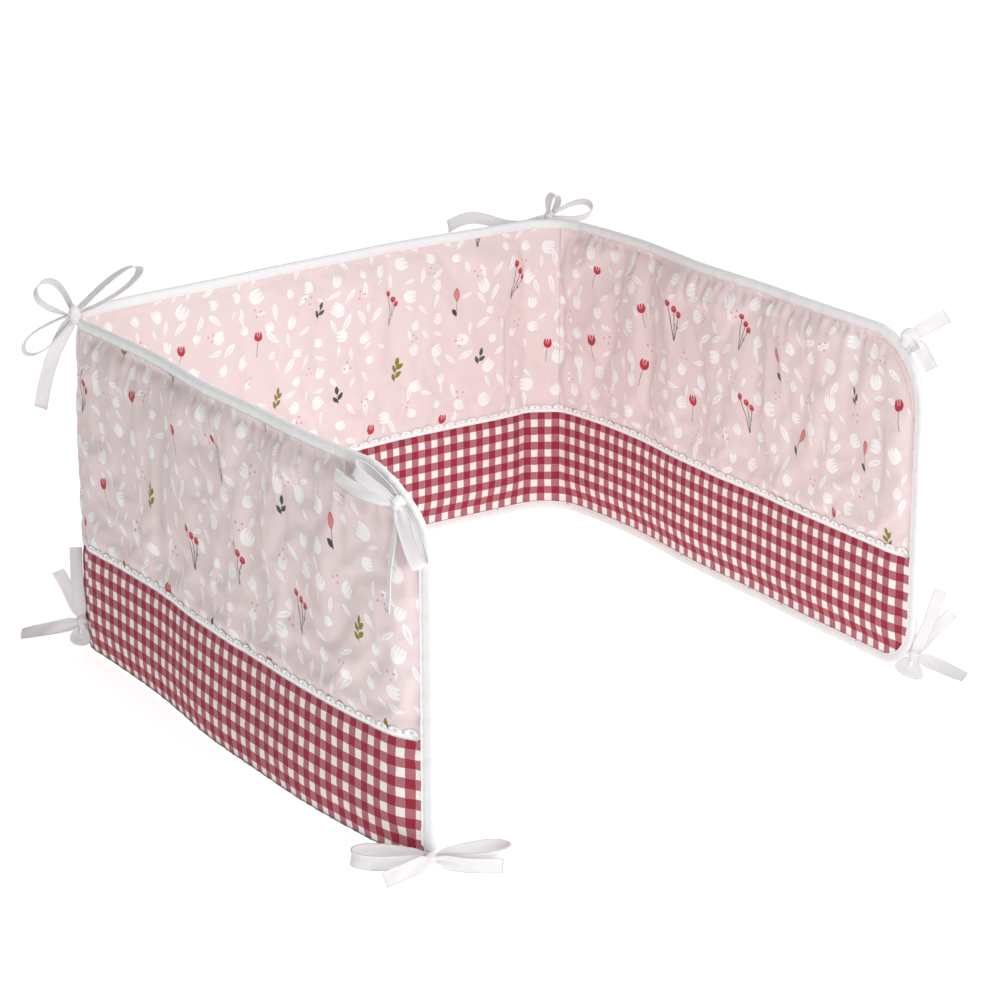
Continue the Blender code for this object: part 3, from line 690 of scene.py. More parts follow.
# ---------------------------------------------------------------- the lace
def make_lace(name, side, material):
    """Scallops as flat rings: an arched outline and a round eye, in two layers, and a foot band."""
    low, high = LACE_END, LENGTH - LACE_END
    count = round((high - low) / SCALLOP)
    pitch = (high - low) / count
    angle = np.linspace(0.0, 2 * math.pi, LACE_POINTS, endpoint=False)
    c, n = np.cos(angle), np.sin(angle)
    arch_s = ARCH_HALF * pitch * np.sign(c) * np.abs(c) ** ARCH_SQUARE
    arch_z = ARCH_WIDEST + np.where(n > 0, LACE_HEIGHT - ARCH_WIDEST, ARCH_BELOW) * n
    middle = (low + (np.arange(count) + 0.5) * pitch)[:, None, None]
    s = middle + np.stack((arch_s, EYE_HALF[0] * c))
    z = SEAM[side] + np.stack((arch_z, EYE_UP + EYE_HALF[1] * n))
    z = z + LACE_WANDER * np.sin(middle * LACE_WANDER_TURN)
    loops = []
    for ring, layer in ((0, 1), (1, 1), (1, 0), (0, 0)):
        along, up = settled(s[:, ring], z[:, ring]), z[:, ring]
        lift = LACE_LIFT + LACE_CLOTH * layer
        reach = np.abs(surface_out(along, up + 0.001, side)) + lift
        loops.append(on_wall(along, up, side * reach))
    points = np.stack(loops, 1)  # scallop, loop, angle, place
    size = len(loops) * LACE_POINTS
    index = np.arange(size).reshape(-1, LACE_POINTS)
    rolled = np.roll(index, -1, 1)
    seam = np.stack((index[-1], rolled[-1], rolled[0], index[0]), 1)
    faces = np.concatenate((grid_faces(len(loops), LACE_POINTS, 0, True), seam))
    faces = (faces[None] + size * np.arange(count)[:, None, None]).reshape(-1, 4)
    band = SEAM[side] + np.array(LACE_BAND)[:, None]
    along, up = np.broadcast_arrays(np.linspace(low, high, 2 * count + 1), band)
    along = settled(along, up)
    layers = []
    for thick in (LACE_CLOTH * BAND_CLOTH, 0.0):
        reach = np.abs(surface_out(along, up + 0.002, side)) + LACE_LIFT + thick
        layers.append(on_wall(along, up, side * reach))
    faces = np.concatenate((faces, sheet_faces(2, 2 * count + 1) + points.size // 3))
    points = np.concatenate((points.reshape(-1, 3), np.stack(layers).reshape(-1, 3)))
    return outward(into_object(name, points, faces.tolist(), material))


# ---------------------------------------------------------------- the binding
def outline_points(step):
    """Rings round the cloth's edge: s, z, inward direction and reach onto the outer face."""
    rows = []

    def shares(length, fewest):
        """Even steps along a length, as shares of it, without its end."""
        count = max(fewest, round(length / step))
        return np.arange(count) / count

    def run(s0, z0, s1, z1, a, b, lip0, lip1):
        """A straight side between two points, a and b being its inward direction."""
        share = shares(math.hypot(s1 - s0, z1 - z0), 2)
        place = (s0 + (s1 - s0) * share, z0 + (z1 - z0) * share)
        rows.append(np.broadcast_arrays(*place, a, b, lip0 + (lip1 - lip0) * share))

    def corner(s, z, radius, first, lip0, lip1):
        """A quarter circle round s and z, clockwise from its first angle."""
        share = shares(radius * math.pi / 2, 4)
        angle = np.radians(first - 90.0 * share)
        a, b = np.cos(angle), np.sin(angle)
        rows.append((s + radius * a, z + radius * b, -a, -b, lip0 + (lip1 - lip0) * share))

    top, end, rolled = BINDING_WIDTH, END_WIDTH, FOOT_LIP
    high, right = HEIGHT - TOP_CORNER, LENGTH - RIGHT_FOOT_CORNER
    fade = right - RIGHT_LIP_FADE
    run(TOP_CORNER, HEIGHT, LENGTH - TOP_CORNER, HEIGHT, 0.0, -1.0, top, top)
    corner(LENGTH - TOP_CORNER, high, TOP_CORNER, 90.0, top, end)
    run(LENGTH, high, LENGTH, RIGHT_FOOT_CORNER, -1.0, 0.0, end, end)
    corner(right, RIGHT_FOOT_CORNER, RIGHT_FOOT_CORNER, 0.0, end, end)
    run(right, 0.0, fade, 0.0, 0.0, 1.0, end, rolled)
    run(fade, 0.0, NEAR_FOOT_CORNER, 0.0, 0.0, 1.0, rolled, rolled)
    corner(NEAR_FOOT_CORNER, NEAR_FOOT_CORNER, NEAR_FOOT_CORNER, 270.0, rolled, end)
    run(0.0, NEAR_FOOT_CORNER, 0.0, high, 1.0, 0.0, end, end)
    corner(TOP_CORNER, high, TOP_CORNER, 180.0, end, top)
    return np.concatenate(rows, 1)


def make_binding(material):
    """A tape folded over the edge: two flanges and a half round, in two layers, with fine puckers."""
    s, z, a, b, lip = outline_points(BINDING_STEP)[:, :, None]
    step = np.hypot(np.diff(s[:, 0], append=s[0, 0]), np.diff(z[:, 0], append=z[0, 0]))
    run = (np.cumsum(step) - step)[:, None]
    share = np.linspace(0.0, 1.0, BINDING_COLUMNS)[None, :]
    bend = clipped((share - FLANGE) / BEND) * math.pi
    outer_flange = clipped(1.0 - share / FLANGE)
    inner_flange = clipped((share - (FLANGE + BEND)) / FLANGE)
    reach = np.maximum(lip - BINDING_ROUND, 0.0)
    rolled_in = BINDING_ROUND * np.minimum(1.0, lip / BINDING_ROUND)
    flange = np.maximum(outer_flange * (reach > 0), inner_flange)
    hem = bell(flange - HEM_AT, HEM_SPREAD) * HEM_DEEP + flange * HEM_DEEP
    waves = sum(
        size * np.sin(2 * math.pi * run / length + turn + slant * share)
        for size, length, turn, slant in PUCKERS
    )
    layers = []
    for radius in (BINDING_ROUND, BINDING_ROUND - BINDING_CLOTH):
        depth = BINDING_ROUND - radius * np.sin(bend)
        depth = np.where(share < 0.5, np.minimum(depth, rolled_in), depth)
        depth = depth + outer_flange * reach + inner_flange * (BINDING_WIDTH - BINDING_ROUND)
        out = radius * np.cos(bend)
        out = out - np.sign(out) * hem
        out = out + np.sign(out) * waves * clipped(np.abs(out) / PUCKER_FROM)
        layers.append(on_wall(s + a * depth, z + b * depth, out))
    swapped = np.stack(layers).transpose(0, 2, 1, 3)  # sections become rows, so that rings close
    faces = sheet_faces(*swapped.shape[1:3], True)
    uv = np.stack(np.broadcast_arrays(run, share * BINDING_UV), -1).transpose(1, 0, 2)
    uv = np.concatenate((uv.reshape(-1, 2), uv.reshape(-1, 2)))[faces.reshape(-1)]
    return outward(into_object("binding_tape", swapped, faces.tolist(), material, uv))


# ---------------------------------------------------------------- the bows
def unit(vector):
    """A vector, or each row of an array, at length 1."""
    return vector / np.linalg.norm(vector, axis=-1, keepdims=True)


def tape_edges(row, t):
    """The tape's two edges at t: a teardrop loop, a waved tail, or a petal with a slit, in mm."""
    kind, bulge, width = row[0], *row[4:6]
    bend, waves, twist = row[6:] or (0, 1, 0)
    end = np.array(row[1:4], float)
    along = unit(end)
    across = unit(width - along * np.dot(width, along))
    side = np.cross(across, along)
    t = t[:, None]
    if kind == "tail":
        middle = end * t + side * bulge * np.sin(math.pi * t)
        middle = middle + across * bend * np.sin(math.pi * waves * t)
        turned = np.radians(twist) * t
        across = across * np.cos(turned) + side * np.sin(turned)
        reach = np.linalg.norm(end) * t
    else:
        out = np.sin(math.pi * t)
        apart = LOOP_APART / MM * np.cos(math.pi * t)
        middle = end * out + side * (apart + bulge * np.sin(2 * math.pi * t))
        reach = np.linalg.norm(end) * out
    if kind == "petal":
        return end * out * PETAL_INNER + side * apart, middle
    share = eased(np.minimum(1.0, reach * MM / KNOT_REACH))
    half = TAPE_WIDTH / MM / 2 * (GATHERED + (1.0 - GATHERED) * share)
    return middle - across * half, middle + across * half


def bow_frame():
    """The bows' own directions across, back and up, as rows of a matrix."""
    turn = math.radians(BOW_TURN)
    across = (math.cos(turn), math.sin(turn), 0.0)
    back = (-math.sin(turn), math.cos(turn), 0.0)
    return np.array((across, back, (0.0, 0.0, 1.0)))


def tape_points(row, number, turn, centre):
    """A tape as a thin sheet: its width between the two edges, pleated where the knot holds it."""
    tail = row[0] == "tail"
    steps = TAIL_STEPS if tail else LOOP_STEPS
    first = KNOT_HOLD / MM / np.linalg.norm(row[1:4]) / (1.0 if tail else math.pi)
    t = np.linspace(first, 1.0 if tail else 1.0 - first, steps)
    low, high = (centre + (edge * MM) @ turn for edge in tape_edges(row, t))
    middle = (low + high) / 2
    face = unit(np.cross(np.gradient(middle, axis=0), high - low))
    v = np.linspace(0.0, 1.0, TAPE_COLUMNS)[None, :, None]
    reach = np.linalg.norm(middle - centre, axis=1)[:, None, None]
    gathered = clipped(1.0 - reach / PLEAT_REACH)
    pleat = PLEAT * gathered * np.cos(2 * math.pi * (1.5 * v + 0.2 * number))
    ripple = RIPPLE * np.sin(t[:, None, None] * (9.0 + number) + 5.0 * v + number)
    edge = 0.5 - clipped(np.minimum(v, 1 - v) / TAPE_HEM) * TAPE_THINNER
    sheet = low[:, None] + (high - low)[:, None] * v + face[:, None] * (pleat + ripple)
    thick = face[:, None] * edge * TAPE_CLOTH
    return np.stack((sheet + thick, sheet - thick)), sheet_faces(steps, TAPE_COLUMNS).tolist()


def knot_points(size, turn, centre):
    """The knot: an ellipsoid whose radius ripples with the wraps of the tape round it."""
    rows, columns = KNOT_GRID
    pole = math.pi / 2 - 0.02
    angle = np.linspace(0.0, 2 * math.pi, columns, endpoint=False)[None, :]
    rise = np.linspace(-pole, pole, rows)[:, None]
    wrap = 0.90 + 0.10 * np.cos(3 * angle + 2.4 * rise) * np.cos(rise)
    wrap = wrap + 0.09 * np.sin(6 * rise + 2.2 * np.sin(angle + 0.6)) * np.cos(rise)
    x = np.cos(rise) * np.cos(angle) * wrap
    y = np.cos(rise) * np.sin(angle) * wrap
    shape = np.stack(np.broadcast_arrays(x, y, np.sin(rise)), -1)
    first = np.arange(columns)
    caps = [first[::-1].tolist(), (first + (rows - 1) * columns).tolist()]
    return centre + (shape * KNOT * size) @ turn, grid_faces(rows, columns, 0, True).tolist() + caps


def make_bow(tie, material):
    """All tapes of a tie and its knot in one mesh."""
    (s, out, height), size, rows = BOWS[tie]
    turn = bow_frame()
    centre = on_wall(s, height * MM, out * MM)
    sheets = [tape_points(row, number, turn, centre) for number, row in enumerate(rows)]
    points, faces, count = [], [], 0
    for sheet, quads in (*sheets, knot_points(size, turn, centre)):
        points.append(sheet.reshape(-1, 3))
        faces += [[corner + count for corner in quad] for quad in quads]
        count += len(points[-1])
    return into_object(f"{tie}_bow", np.concatenate(points), faces, material)


# ---------------------------------------------------------------- materials
def operation(kind):
    """A method that runs a term, and what else it is given, through one kind of Math node."""

    def method(self, *others):
        return self.math(kind, *others)

    return method


class Term:
    """A number in a node tree that can be added, multiplied and compared in plain writing."""

    def __init__(self, tree, socket):
        self.tree = tree
        self.socket = socket

    def math(self, kind, *others, clamp=False):
        """A Math node of this kind, fed with the term and the others in order."""
        node = self.tree.nodes.new("ShaderNodeMath")
        node.operation = kind
        node.use_clamp = clamp
        for slot, value in zip(node.inputs, (self, *others)):
            give(self.tree, slot, value)
        return Term(self.tree, node.outputs[0])

    def __rsub__(self, other):
        return (self * -1.0).math("ADD", other)

    def within(self):
        """The term kept between 0 and 1."""
        return self.math("ADD", 0.0, clamp=True)

    __add__ = __radd__ = operation("ADD")
    __sub__ = operation("SUBTRACT")
    __mul__ = __rmul__ = operation("MULTIPLY")
    __truediv__ = operation("DIVIDE")
    below = operation("LESS_THAN")
    above = operation("GREATER_THAN")
    whole = operation("FLOOR")
    size = operation("ABSOLUTE")
    at_most = operation("MINIMUM")
    at_least = operation("MAXIMUM")
    sine = operation("SINE")
    cosine = operation("COSINE")
    root = operation("SQRT")
    power = operation("POWER")
    arctan = operation("ARCTAN2")


def give(tree, slot, value):
    """Links a term or an output to an input, or sets the input to a plain value."""
    if isinstance(value, Term):
        value = value.socket
    if isinstance(value, bpy.types.NodeSocket):
        tree.links.new(value, slot)
    else:
        slot.default_value = value


def new_node(tree, kind, links=None, **settings):
    """Adds a node, sets its properties, and links or sets its named inputs."""
    node = tree.nodes.new(kind)
    for key, value in settings.items():
        setattr(node, key, value)
    for key, value in (links or {}).items():
        give(tree, node.inputs[key], value)
    return node


def new_group(name, outputs, **inputs):
    """An empty node group with number sockets, and its inputs as terms; _ stands for a space."""
    tree = bpy.data.node_groups.new(name, "ShaderNodeTree")
    titles = [title.replace("_", " ") for title in inputs]
    for title, value in zip(titles, inputs.values()):
        slot = tree.interface.new_socket(title, in_out="INPUT", socket_type="NodeSocketFloat")
        slot.default_value = value
    for title in outputs:
        tree.interface.new_socket(title, in_out="OUTPUT", socket_type="NodeSocketFloat")
    given = tree.nodes.new("NodeGroupInput")
    return tree, [Term(tree, given.outputs[title]) for title in titles]


def close_group(tree, **results):
    """Links the results to the group's outputs, whose names use spaces for underscores."""
    end = tree.nodes.new("NodeGroupOutput")
    for title, value in results.items():
        give(tree, end.inputs[title.replace("_", " ")], value)
    return tree


def placed(tree, group, *values):
    """Puts a group into a tree, gives it its values in order, and returns its outputs as terms."""
    node = new_node(tree, "ShaderNodeGroup", node_tree=group)
    for slot, value in zip(node.inputs, values):
        give(tree, slot, value)
    return [Term(tree, out) for out in node.outputs]


def random_terms(tree, x, y, seed):
    """Four random numbers from 0 to 1 for a cell."""
    cell = new_node(tree, "ShaderNodeCombineXYZ", {"X": x, "Y": y, "Z": seed})
    noise = new_node(tree, "ShaderNodeTexWhiteNoise", {"Vector": cell.outputs[0]})
    colour = new_node(tree, "ShaderNodeSeparateColor", {"Color": noise.outputs["Color"]})
    return [Term(tree, out) for out in colour.outputs] + [Term(tree, noise.outputs["Value"])]


def printed(distance, crisp=3.5):
    """1 where a distance in mm is above 0, with a soft edge that rises by crisp in each mm."""
    return (distance * crisp).within()


def between(term, low, high):
    """1 where a term lies between two values, else 0."""
    return term.above(low) * term.below(high)


def arch(along, power):
    """A leaf's share of its half width: half a sine wave from foot to tip, to a power."""
    return (along * math.pi).sine().at_least(0.0).power(power)


def far(x, y):
    """The distance of a point from the origin, by its two coordinates."""
    return (x * x + y * y).root()


def fan_lanes(x, y, last, spread):
    """The lane of a fan that a point is in, and how far it is along and across its middle."""
    angle = x.arctan(y)
    index = (angle / spread + last * 0.5 + 0.5).whole().at_least(0.0).at_most(last)
    local = angle - (index - last * 0.5) * spread
    reach = far(x, y)
    return index, reach * local.cosine(), reach * local.sine()


def group_motif_cell():
    """One motif's own place in a lattice: cells in shifted rows, each moved, turned and sized."""
    outputs = ("X", "Y", "Kind", "Tint", "Centre U", "Centre V")
    cell = {"U": 0.0, "V": 0.0, "Width": 30.0, "Height": 30.0}
    change = {"Seed": 0.0, "Wander": 3.0, "Turn": 0.5, "Size_Range": 0.2}
    tree, given = new_group("motif_cell", outputs, **cell, **change)
    u, v, width, height, seed, wander, turn, size_range = given
    row = (v / height).whole()
    shift = random_terms(tree, row, 0.0, seed + 5.0)[3] * width
    column = ((u + shift) / width).whole()
    r1, r2, r3, r4 = random_terms(tree, column, row, seed)
    kind, tint, *_ = random_terms(tree, column, row, seed + 31.0)
    centre_u = (column + 0.5) * width - shift + (r1 - 0.5) * wander * 2.0
    centre_v = (row + 0.5) * height + (r2 - 0.5) * wander * 2.0
    dx, dy = u - centre_u, v - centre_v
    angle = (r3 - 0.5) * 2.0 * turn
    c, n = angle.cosine(), angle.sine()
    size = 1.0 + (r4 - 0.5) * 2.0 * size_range
    x = (dx * c + dy * n) / size
    y = (dy * c - dx * n) / size
    return close_group(tree, X=x, Y=y, Kind=kind, Tint=tint, Centre_U=centre_u, Centre_V=centre_v)


def group_petal_fan():
    """Petals spread like a fan: each an arch round its own middle line, with a slit along it."""
    fan = {"Petals": 1.0, "Spread": 1.0, "Length": 11.0, "Half_Width": 2.4, "Slit": 0.0}
    tree, given = new_group("petal_fan", ("Mask", "Along"), X=0.0, Y=0.0, **fan)
    x, y, petals, spread, length, half_width, slit = given
    _, along, across = fan_lanes(x, y, petals - 1.0, spread)
    along, across = along / length, across.size()
    half = arch(along, 0.75) * (along.within() * 0.5 + 0.75) * half_width
    mask = printed(half - across) * between(along, 0.0, 1.0)
    cut = 1.0 - printed(across - slit, 5.0)
    slit_zone = between(along, 0.18, 0.78) * slit.above(0.01)
    return close_group(tree, Mask=mask * (1.0 - slit_zone * cut), Along=along)


def group_cup():
    """A flower cup: half an ellipse, sides drawn in above it, and a rim of petals with notches."""
    size = {"Petals": 3.0, "Length": 12.5, "Half_Width": 5.4}
    tree, (x, y, petals, length, half_width) = new_group("cup", ("Mask",), X=0.0, Y=0.0, **size)
    bowl, narrower = 0.45, 0.22  # the ellipse's share of the height, and the rim's loss of width
    rounding, notch = 0.15, 0.42  # how far the rim falls within a petal, and between petals
    up = y / length
    low = (1.0 - up / bowl).within()
    high = ((up - bowl) / (1.0 - bowl)).within()
    half = ((1.0 - low * low).root() - high * high * narrower) * half_width
    lane = (x / half.at_least(0.1) * petals + petals) * 0.5
    from_middle = (lane - lane.whole() - 0.5).size() * 2.0
    rim = 1.0 - from_middle * rounding - from_middle.power(5.0) * notch
    mask = printed(half - x.size()) * printed((rim - up) * length, 1.6)
    return close_group(tree, Mask=mask * up.above(0.0))


def group_sprig():
    """A stem with pairs of slanted side leaves and a top leaf, folded about its middle."""
    leaf = {"Leaf_Length": 8.0, "Leaf_Half_Width": 1.7, "Pairs": 2.0}
    tree, given = new_group("sprig", ("Stem", "Leaf"), X=0.0, Y=0.0, **leaf)
    x, y, leaf_length, leaf_half, pairs = given
    pitch, slant, step = 7.4, 0.72, 2.6  # from pair to pair, off the stem, and between the sides
    side = x.size()
    low = -2.0 - pairs * 5.0
    stem = printed(0.5 - side, 2.2) * between(y, low, 4.0)
    level = y - low - 1.5 - x.below(0.0) * step
    pair = (level / pitch).whole().at_least(0.0).at_most(pairs - 1.0)
    up = level - pair * pitch
    c, n = math.cos(slant), math.sin(slant)
    along = (side * n + up * c) / leaf_length
    across = (side * c - up * n).size()
    leaf = printed(arch(along, 0.7) * leaf_half - across) * between(along, 0.0, 1.0)
    top = (y - 2.5) / leaf_length
    top_leaf = printed(arch(top, 0.7) * leaf_half - side) * between(top, 0.0, 1.0)
    twig = printed(0.45 - across, 2.5) * between(along, 0.0, 0.75)
    return close_group(tree, Stem=stem.at_least(twig), Leaf=leaf.at_least(top_leaf))


def group_berries():
    """Three round berries on stems that spread from one foot, and a small bud on a twig."""
    tree, (x, y) = new_group("berries", ("Stem", "Berry", "Shine", "Bud"), X=0.0, Y=0.0)
    index, along, across = fan_lanes(x, y + 19.0, 2.0, 0.21)
    centre = 25.0 + index * 5.0 - index.math("MODULO", 2.0)
    up = along - centre
    stem = printed(0.625 - across.size(), 2.4) * along.above(1.0) * up.below(0.0)
    distance = far(across, up)
    berry = printed(3.3 - distance, 3.0)
    shine = (1.0 - (distance - 1.3).size() * 1.6).within() * up.above(0.3)
    bud_x, bud_y = x + 3.4, y + 6.0
    bud = printed(1.3 - far(bud_x, bud_y), 3.0)
    twig = printed(0.75 - (bud_x * 1.5 - bud_y - 0.5).size(), 1.2) * between(bud_x, 0.0, 2.6)
    return close_group(tree, Stem=stem.at_least(twig), Berry=berry, Shine=shine, Bud=bud)


def group_weave():
    """Height of a plain weave: two crossed threads that pass over and under each other."""
    tree, (u, v, pitch) = new_group("weave", ("Height",), U=0.0, V=0.0, Pitch=0.6)
    a, b = ((value / pitch * math.pi).sine() for value in (u, v))
    return close_group(tree, Height=a * b * 0.5 + 0.5)


class Cloth:
    """A new material's tree with its shader, and the cloth's UV in millimetres."""

    def __init__(self, name, roughness, sheen):
        self.material = bpy.data.materials.new(name)
        self.material.use_nodes = True
        self.tree = self.material.node_tree
        self.shader = self.tree.nodes["Principled BSDF"]
        self.shader.inputs["Roughness"].default_value = roughness
        self.shader.inputs["Sheen Weight"].default_value = sheen
        self.shader.inputs["Specular IOR Level"].default_value = 0.25
        uv = new_node(self.tree, "ShaderNodeUVMap", uv_map="Cloth")
        apart = new_node(self.tree, "ShaderNodeSeparateXYZ", {"Vector": uv.outputs[0]})
        self.u, self.v = (Term(self.tree, apart.outputs[number]) * 1000.0 for number in (0, 1))
        self.place = new_node(self.tree, "ShaderNodeTexCoord").outputs["Object"]

    def noise(self, scale, detail=2.0):
        """Smooth noise from 0 to 1 through the object."""
        links = {"Vector": self.place, "Scale": scale, "Detail": detail}
        return Term(self.tree, new_node(self.tree, "ShaderNodeTexNoise", links).outputs["Fac"])

    def mix(self, share, first, second):
        """A colour between two, each a socket or three numbers."""
        node = new_node(self.tree, "ShaderNodeMix", data_type="RGBA")
        give(self.tree, node.inputs[0], share)
        for slot, value in ((6, first), (7, second)):
            plain = not isinstance(value, bpy.types.NodeSocket)
            give(self.tree, node.inputs[slot], (*value, 1.0) if plain else value)
        return node.outputs[2]

    def bump(self, height, distance, strength):
        """Links a height in units of distance to the shader's normal."""
        links = {"Height": height, "Distance": distance, "Strength": strength}
        node = new_node(self.tree, "ShaderNodeBump", links)
        give(self.tree, self.shader.inputs["Normal"], node.outputs[0])

    def colour(self, socket):
        """Links a colour to the shader."""
        give(self.tree, self.shader.inputs["Base Color"], socket)


def print_material(settings, cells, fan, cup, sprig, berries, weave):
    """The printed cloth: white cups and leaves, coloured motifs and dots, each in a lattice."""
    cloth = Cloth("print_cloth", 0.9, 0.15)
    tree = cloth.tree
    u, v = (
        value + (cloth.noise(scale) - 0.5) * 1.3
        for value, scale in ((cloth.u, 310.0), (cloth.v, 290.0))
    )

    def petal(x, y, *shape):
        """One leaf or petal that grows up from x and y, and how far along it a point is."""
        return placed(tree, fan, x, y, 1.0, 1.0, *shape)

    def clear_of_flowers(centre_u, centre_v):
        """1 for a white motif whose middle keeps clear of a coloured one."""
        x, y, *_ = placed(tree, cells, centre_u, centre_v, *FLOWER_CELL)
        return 1.0 - x.size().below(12.5) * (y + 2.0).size().below(21.0)

    # white cups, and between them white leaves
    x, y, kind, _, *centre = placed(tree, cells, u, v, *CUP_CELL)
    petals = (kind * 1.5).whole() + 3.0
    (white_cup,) = placed(tree, cup, x, y + 6.2, petals, *WHITE_CUP)
    white = white_cup * clear_of_flowers(*centre)
    x, y, kind, _, *centre = placed(tree, cells, u, v + 15.0, *LEAF_CELL)
    white_leaf, _ = petal(x, y + 7.5, *WHITE_LEAF)
    white = white.at_least(white_leaf * clear_of_flowers(*centre) * kind.below(0.84))
    brush = cloth.noise(800.0, 1.0) * 0.7 + 0.62

    # three dots round the middle of a cell
    x, y, *_ = placed(tree, cells, u, v, *DOT_CELL)
    third = 2 * math.pi / 3
    turn = x.arctan(y)
    folded = turn - (turn / third + 0.5).whole() * third
    reach = far(x, y)
    dots = printed(1.25 - far(reach * folded.sine(), reach * folded.cosine() - 3.8), 3.0)

    # coloured motifs: a red bloom, a coral bud, an olive or grey sprig, or a twig of berries
    x, y, kind, tint, *_ = placed(tree, cells, u, v, *FLOWER_CELL)
    is_bloom = kind.below(0.30)
    is_bud = between(kind, 0.30, 0.44)
    is_sprig = between(kind, 0.44, 0.84)
    is_berry = kind.above(0.84)
    is_olive = tint.above(0.42)
    (bloom,) = placed(tree, cup, x, y - 1.0, *RED_CUP)
    lines, _ = placed(tree, fan, x, y - 4.5, *CUP_LINES)
    bent = x + (y * 0.16).sine() * 0.8
    stem = printed(0.5 - bent.size(), 2.2) * between(y, -15.0, 2.0)
    coral, along = petal(x, y - 0.5, *CORAL_BUD)
    inner, _ = petal(x, y - 1.8, *INNER_BUD)
    low = y + 14.0
    foot_leaf, _ = petal(x * 0.82 - low * 0.57, x * 0.57 + low * 0.82, *FOOT_LEAF)
    twig, leaves = placed(tree, sprig, x, y, *SPRIG_LEAF, 1.0 + is_olive)
    berry_stem, berry, shine, berry_bud = placed(tree, berries, x, y)

    grey = cloth.mix(tint, GREY_LOW, GREY_HIGH)
    red = cloth.mix(cloth.noise(500.0, 1.0), settings.red[:], RED_BRIGHT)
    colour = cloth.mix(cloth.noise(9.0, 3.0), settings.pink_low[:], settings.pink_high[:])
    for mask, paint in (
        ((white * brush).within() * 0.95, WHITE_PAINT),
        (dots * 0.8, DOT_PAINT),
        (stem * (is_bloom + is_bud), STEM_PAINT),
        (foot_leaf * is_bud, STEM_PAINT),
        (twig.at_least(leaves) * is_sprig, cloth.mix(is_olive, grey, OLIVE_PAINT)),
        (berry_stem * is_berry, TWIG_PAINT),
        (berry_bud * is_berry, BERRY_BUD_PAINT),
        ((bloom * is_bloom).at_least(berry * is_berry), red),
        (lines * is_bloom * 0.7, SHINE_PAINT),
        (shine * is_berry * 0.6, SHINE_PAINT),
        (coral * is_bud, CORAL_PAINT),
        (inner * is_bud, cloth.mix(along, INNER_LOW, INNER_HIGH)),
    ):
        colour = cloth.mix(mask, colour, paint)
    cloth.colour(colour)

    (threads,) = placed(tree, weave, cloth.u, cloth.v, THREAD)
    soft = cloth.noise(85.0, 3.0) * 0.8 + cloth.noise(240.0) * 0.25 + threads * 0.05
    cloth.bump(soft, 0.0012, 0.55)
    return cloth.material


def gingham_material(settings, weave):
    """Woven checks: two crossed sets of stripes, whose crossings are deepest."""
    cloth = Cloth("gingham_cloth", 0.88, 0.05)
    crisp, fuller = 9.0, 1.2  # how fast a stripe's edge rises, and how much wider it is than half
    wobble = (cloth.noise(60.0, 1.0) - 0.5) * 0.5
    turns = [(value + wobble) / (CHECK / MM) * (2 * math.pi) for value in (cloth.u, cloth.v)]
    upright = (turns[0].sine() * crisp + fuller).within()
    level = (fuller - turns[1].sine() * crisp).within()
    both = upright * level
    one = upright + level - both * 2.0
    (threads,) = placed(cloth.tree, weave, cloth.u, cloth.v, THREAD)
    fleck = 0.92 + cloth.noise(1500.0, 1.0) * 0.16
    colour = cloth.mix((one * fleck).within(), CHECK_WHITE, settings.check_mid[:])
    cloth.colour(cloth.mix(both, colour, settings.check_deep[:]))
    cloth.bump(cloth.noise(110.0, 3.0) * 0.7 + threads * 0.10, 0.0012, 0.5)
    return cloth.material


def binding_material(settings, weave):
    """White tape: fine weave, a run of stitches beside each hem with painted shade in the groove between
    stitches, and gathers between the hems.
    """
    cloth = Cloth("binding_cloth", 0.75, 0.2)
    fold = (cloth.v / (BINDING_UV / MM) - 0.5).size() * 2.0
    line = 1.0 - ((fold - HEM_AT).size() * 26.0).within()
    dash = ((cloth.u / 3.1 * (2 * math.pi)).sine() * 3.0 + 1.6).within()
    stitch = line * dash
    (threads,) = placed(cloth.tree, weave, cloth.u, cloth.v, BINDING_THREAD)
    gather = (cloth.u / 4.3 + cloth.noise(140.0) * 7.0).sine() * fold
    ground = cloth.mix(cloth.noise(30.0), settings.white_low[:], settings.white_high[:])
    colour = cloth.mix(stitch * 0.5, ground, STITCH_PAINT)
    # painted shade: the groove between the stitches is greyed
    cloth.colour(cloth.mix(line * (1.0 - dash) * 0.25, colour, GROOVE_SHADE_PAINT))
    height = gather * 0.20 - line * 0.45 + stitch * 0.30
    height = height + cloth.noise(180.0) * 0.35 + threads * 0.05
    cloth.bump(height, 0.0010, 0.6)
    return cloth.material


def plain_cloth(name, low, high, roughness, sheen, scale, distance):
    """A white cloth of one colour with soft mottling and a fine uneven surface."""
    cloth = Cloth(name, roughness, sheen)
    cloth.colour(cloth.mix(cloth.noise(24.0), low, high))
    height = cloth.noise(scale, 3.0) * 0.7 + cloth.noise(scale * 6.0) * 0.3
    cloth.bump(height, distance, 0.5)
    return cloth.material


# ---------------------------------------------------------------- settings and operators
def colour_property(name, description, default):
    """A colour that a user can change."""
    return bpy.props.FloatVectorProperty(
        name=name, description=description, default=default, subtype="COLOR", size=3, min=0.0, max=1.0
    )


def number_property(name, description, default, **limits):
    """A number that a user can change."""
    return bpy.props.FloatProperty(name=name, description=description, default=default, **limits)


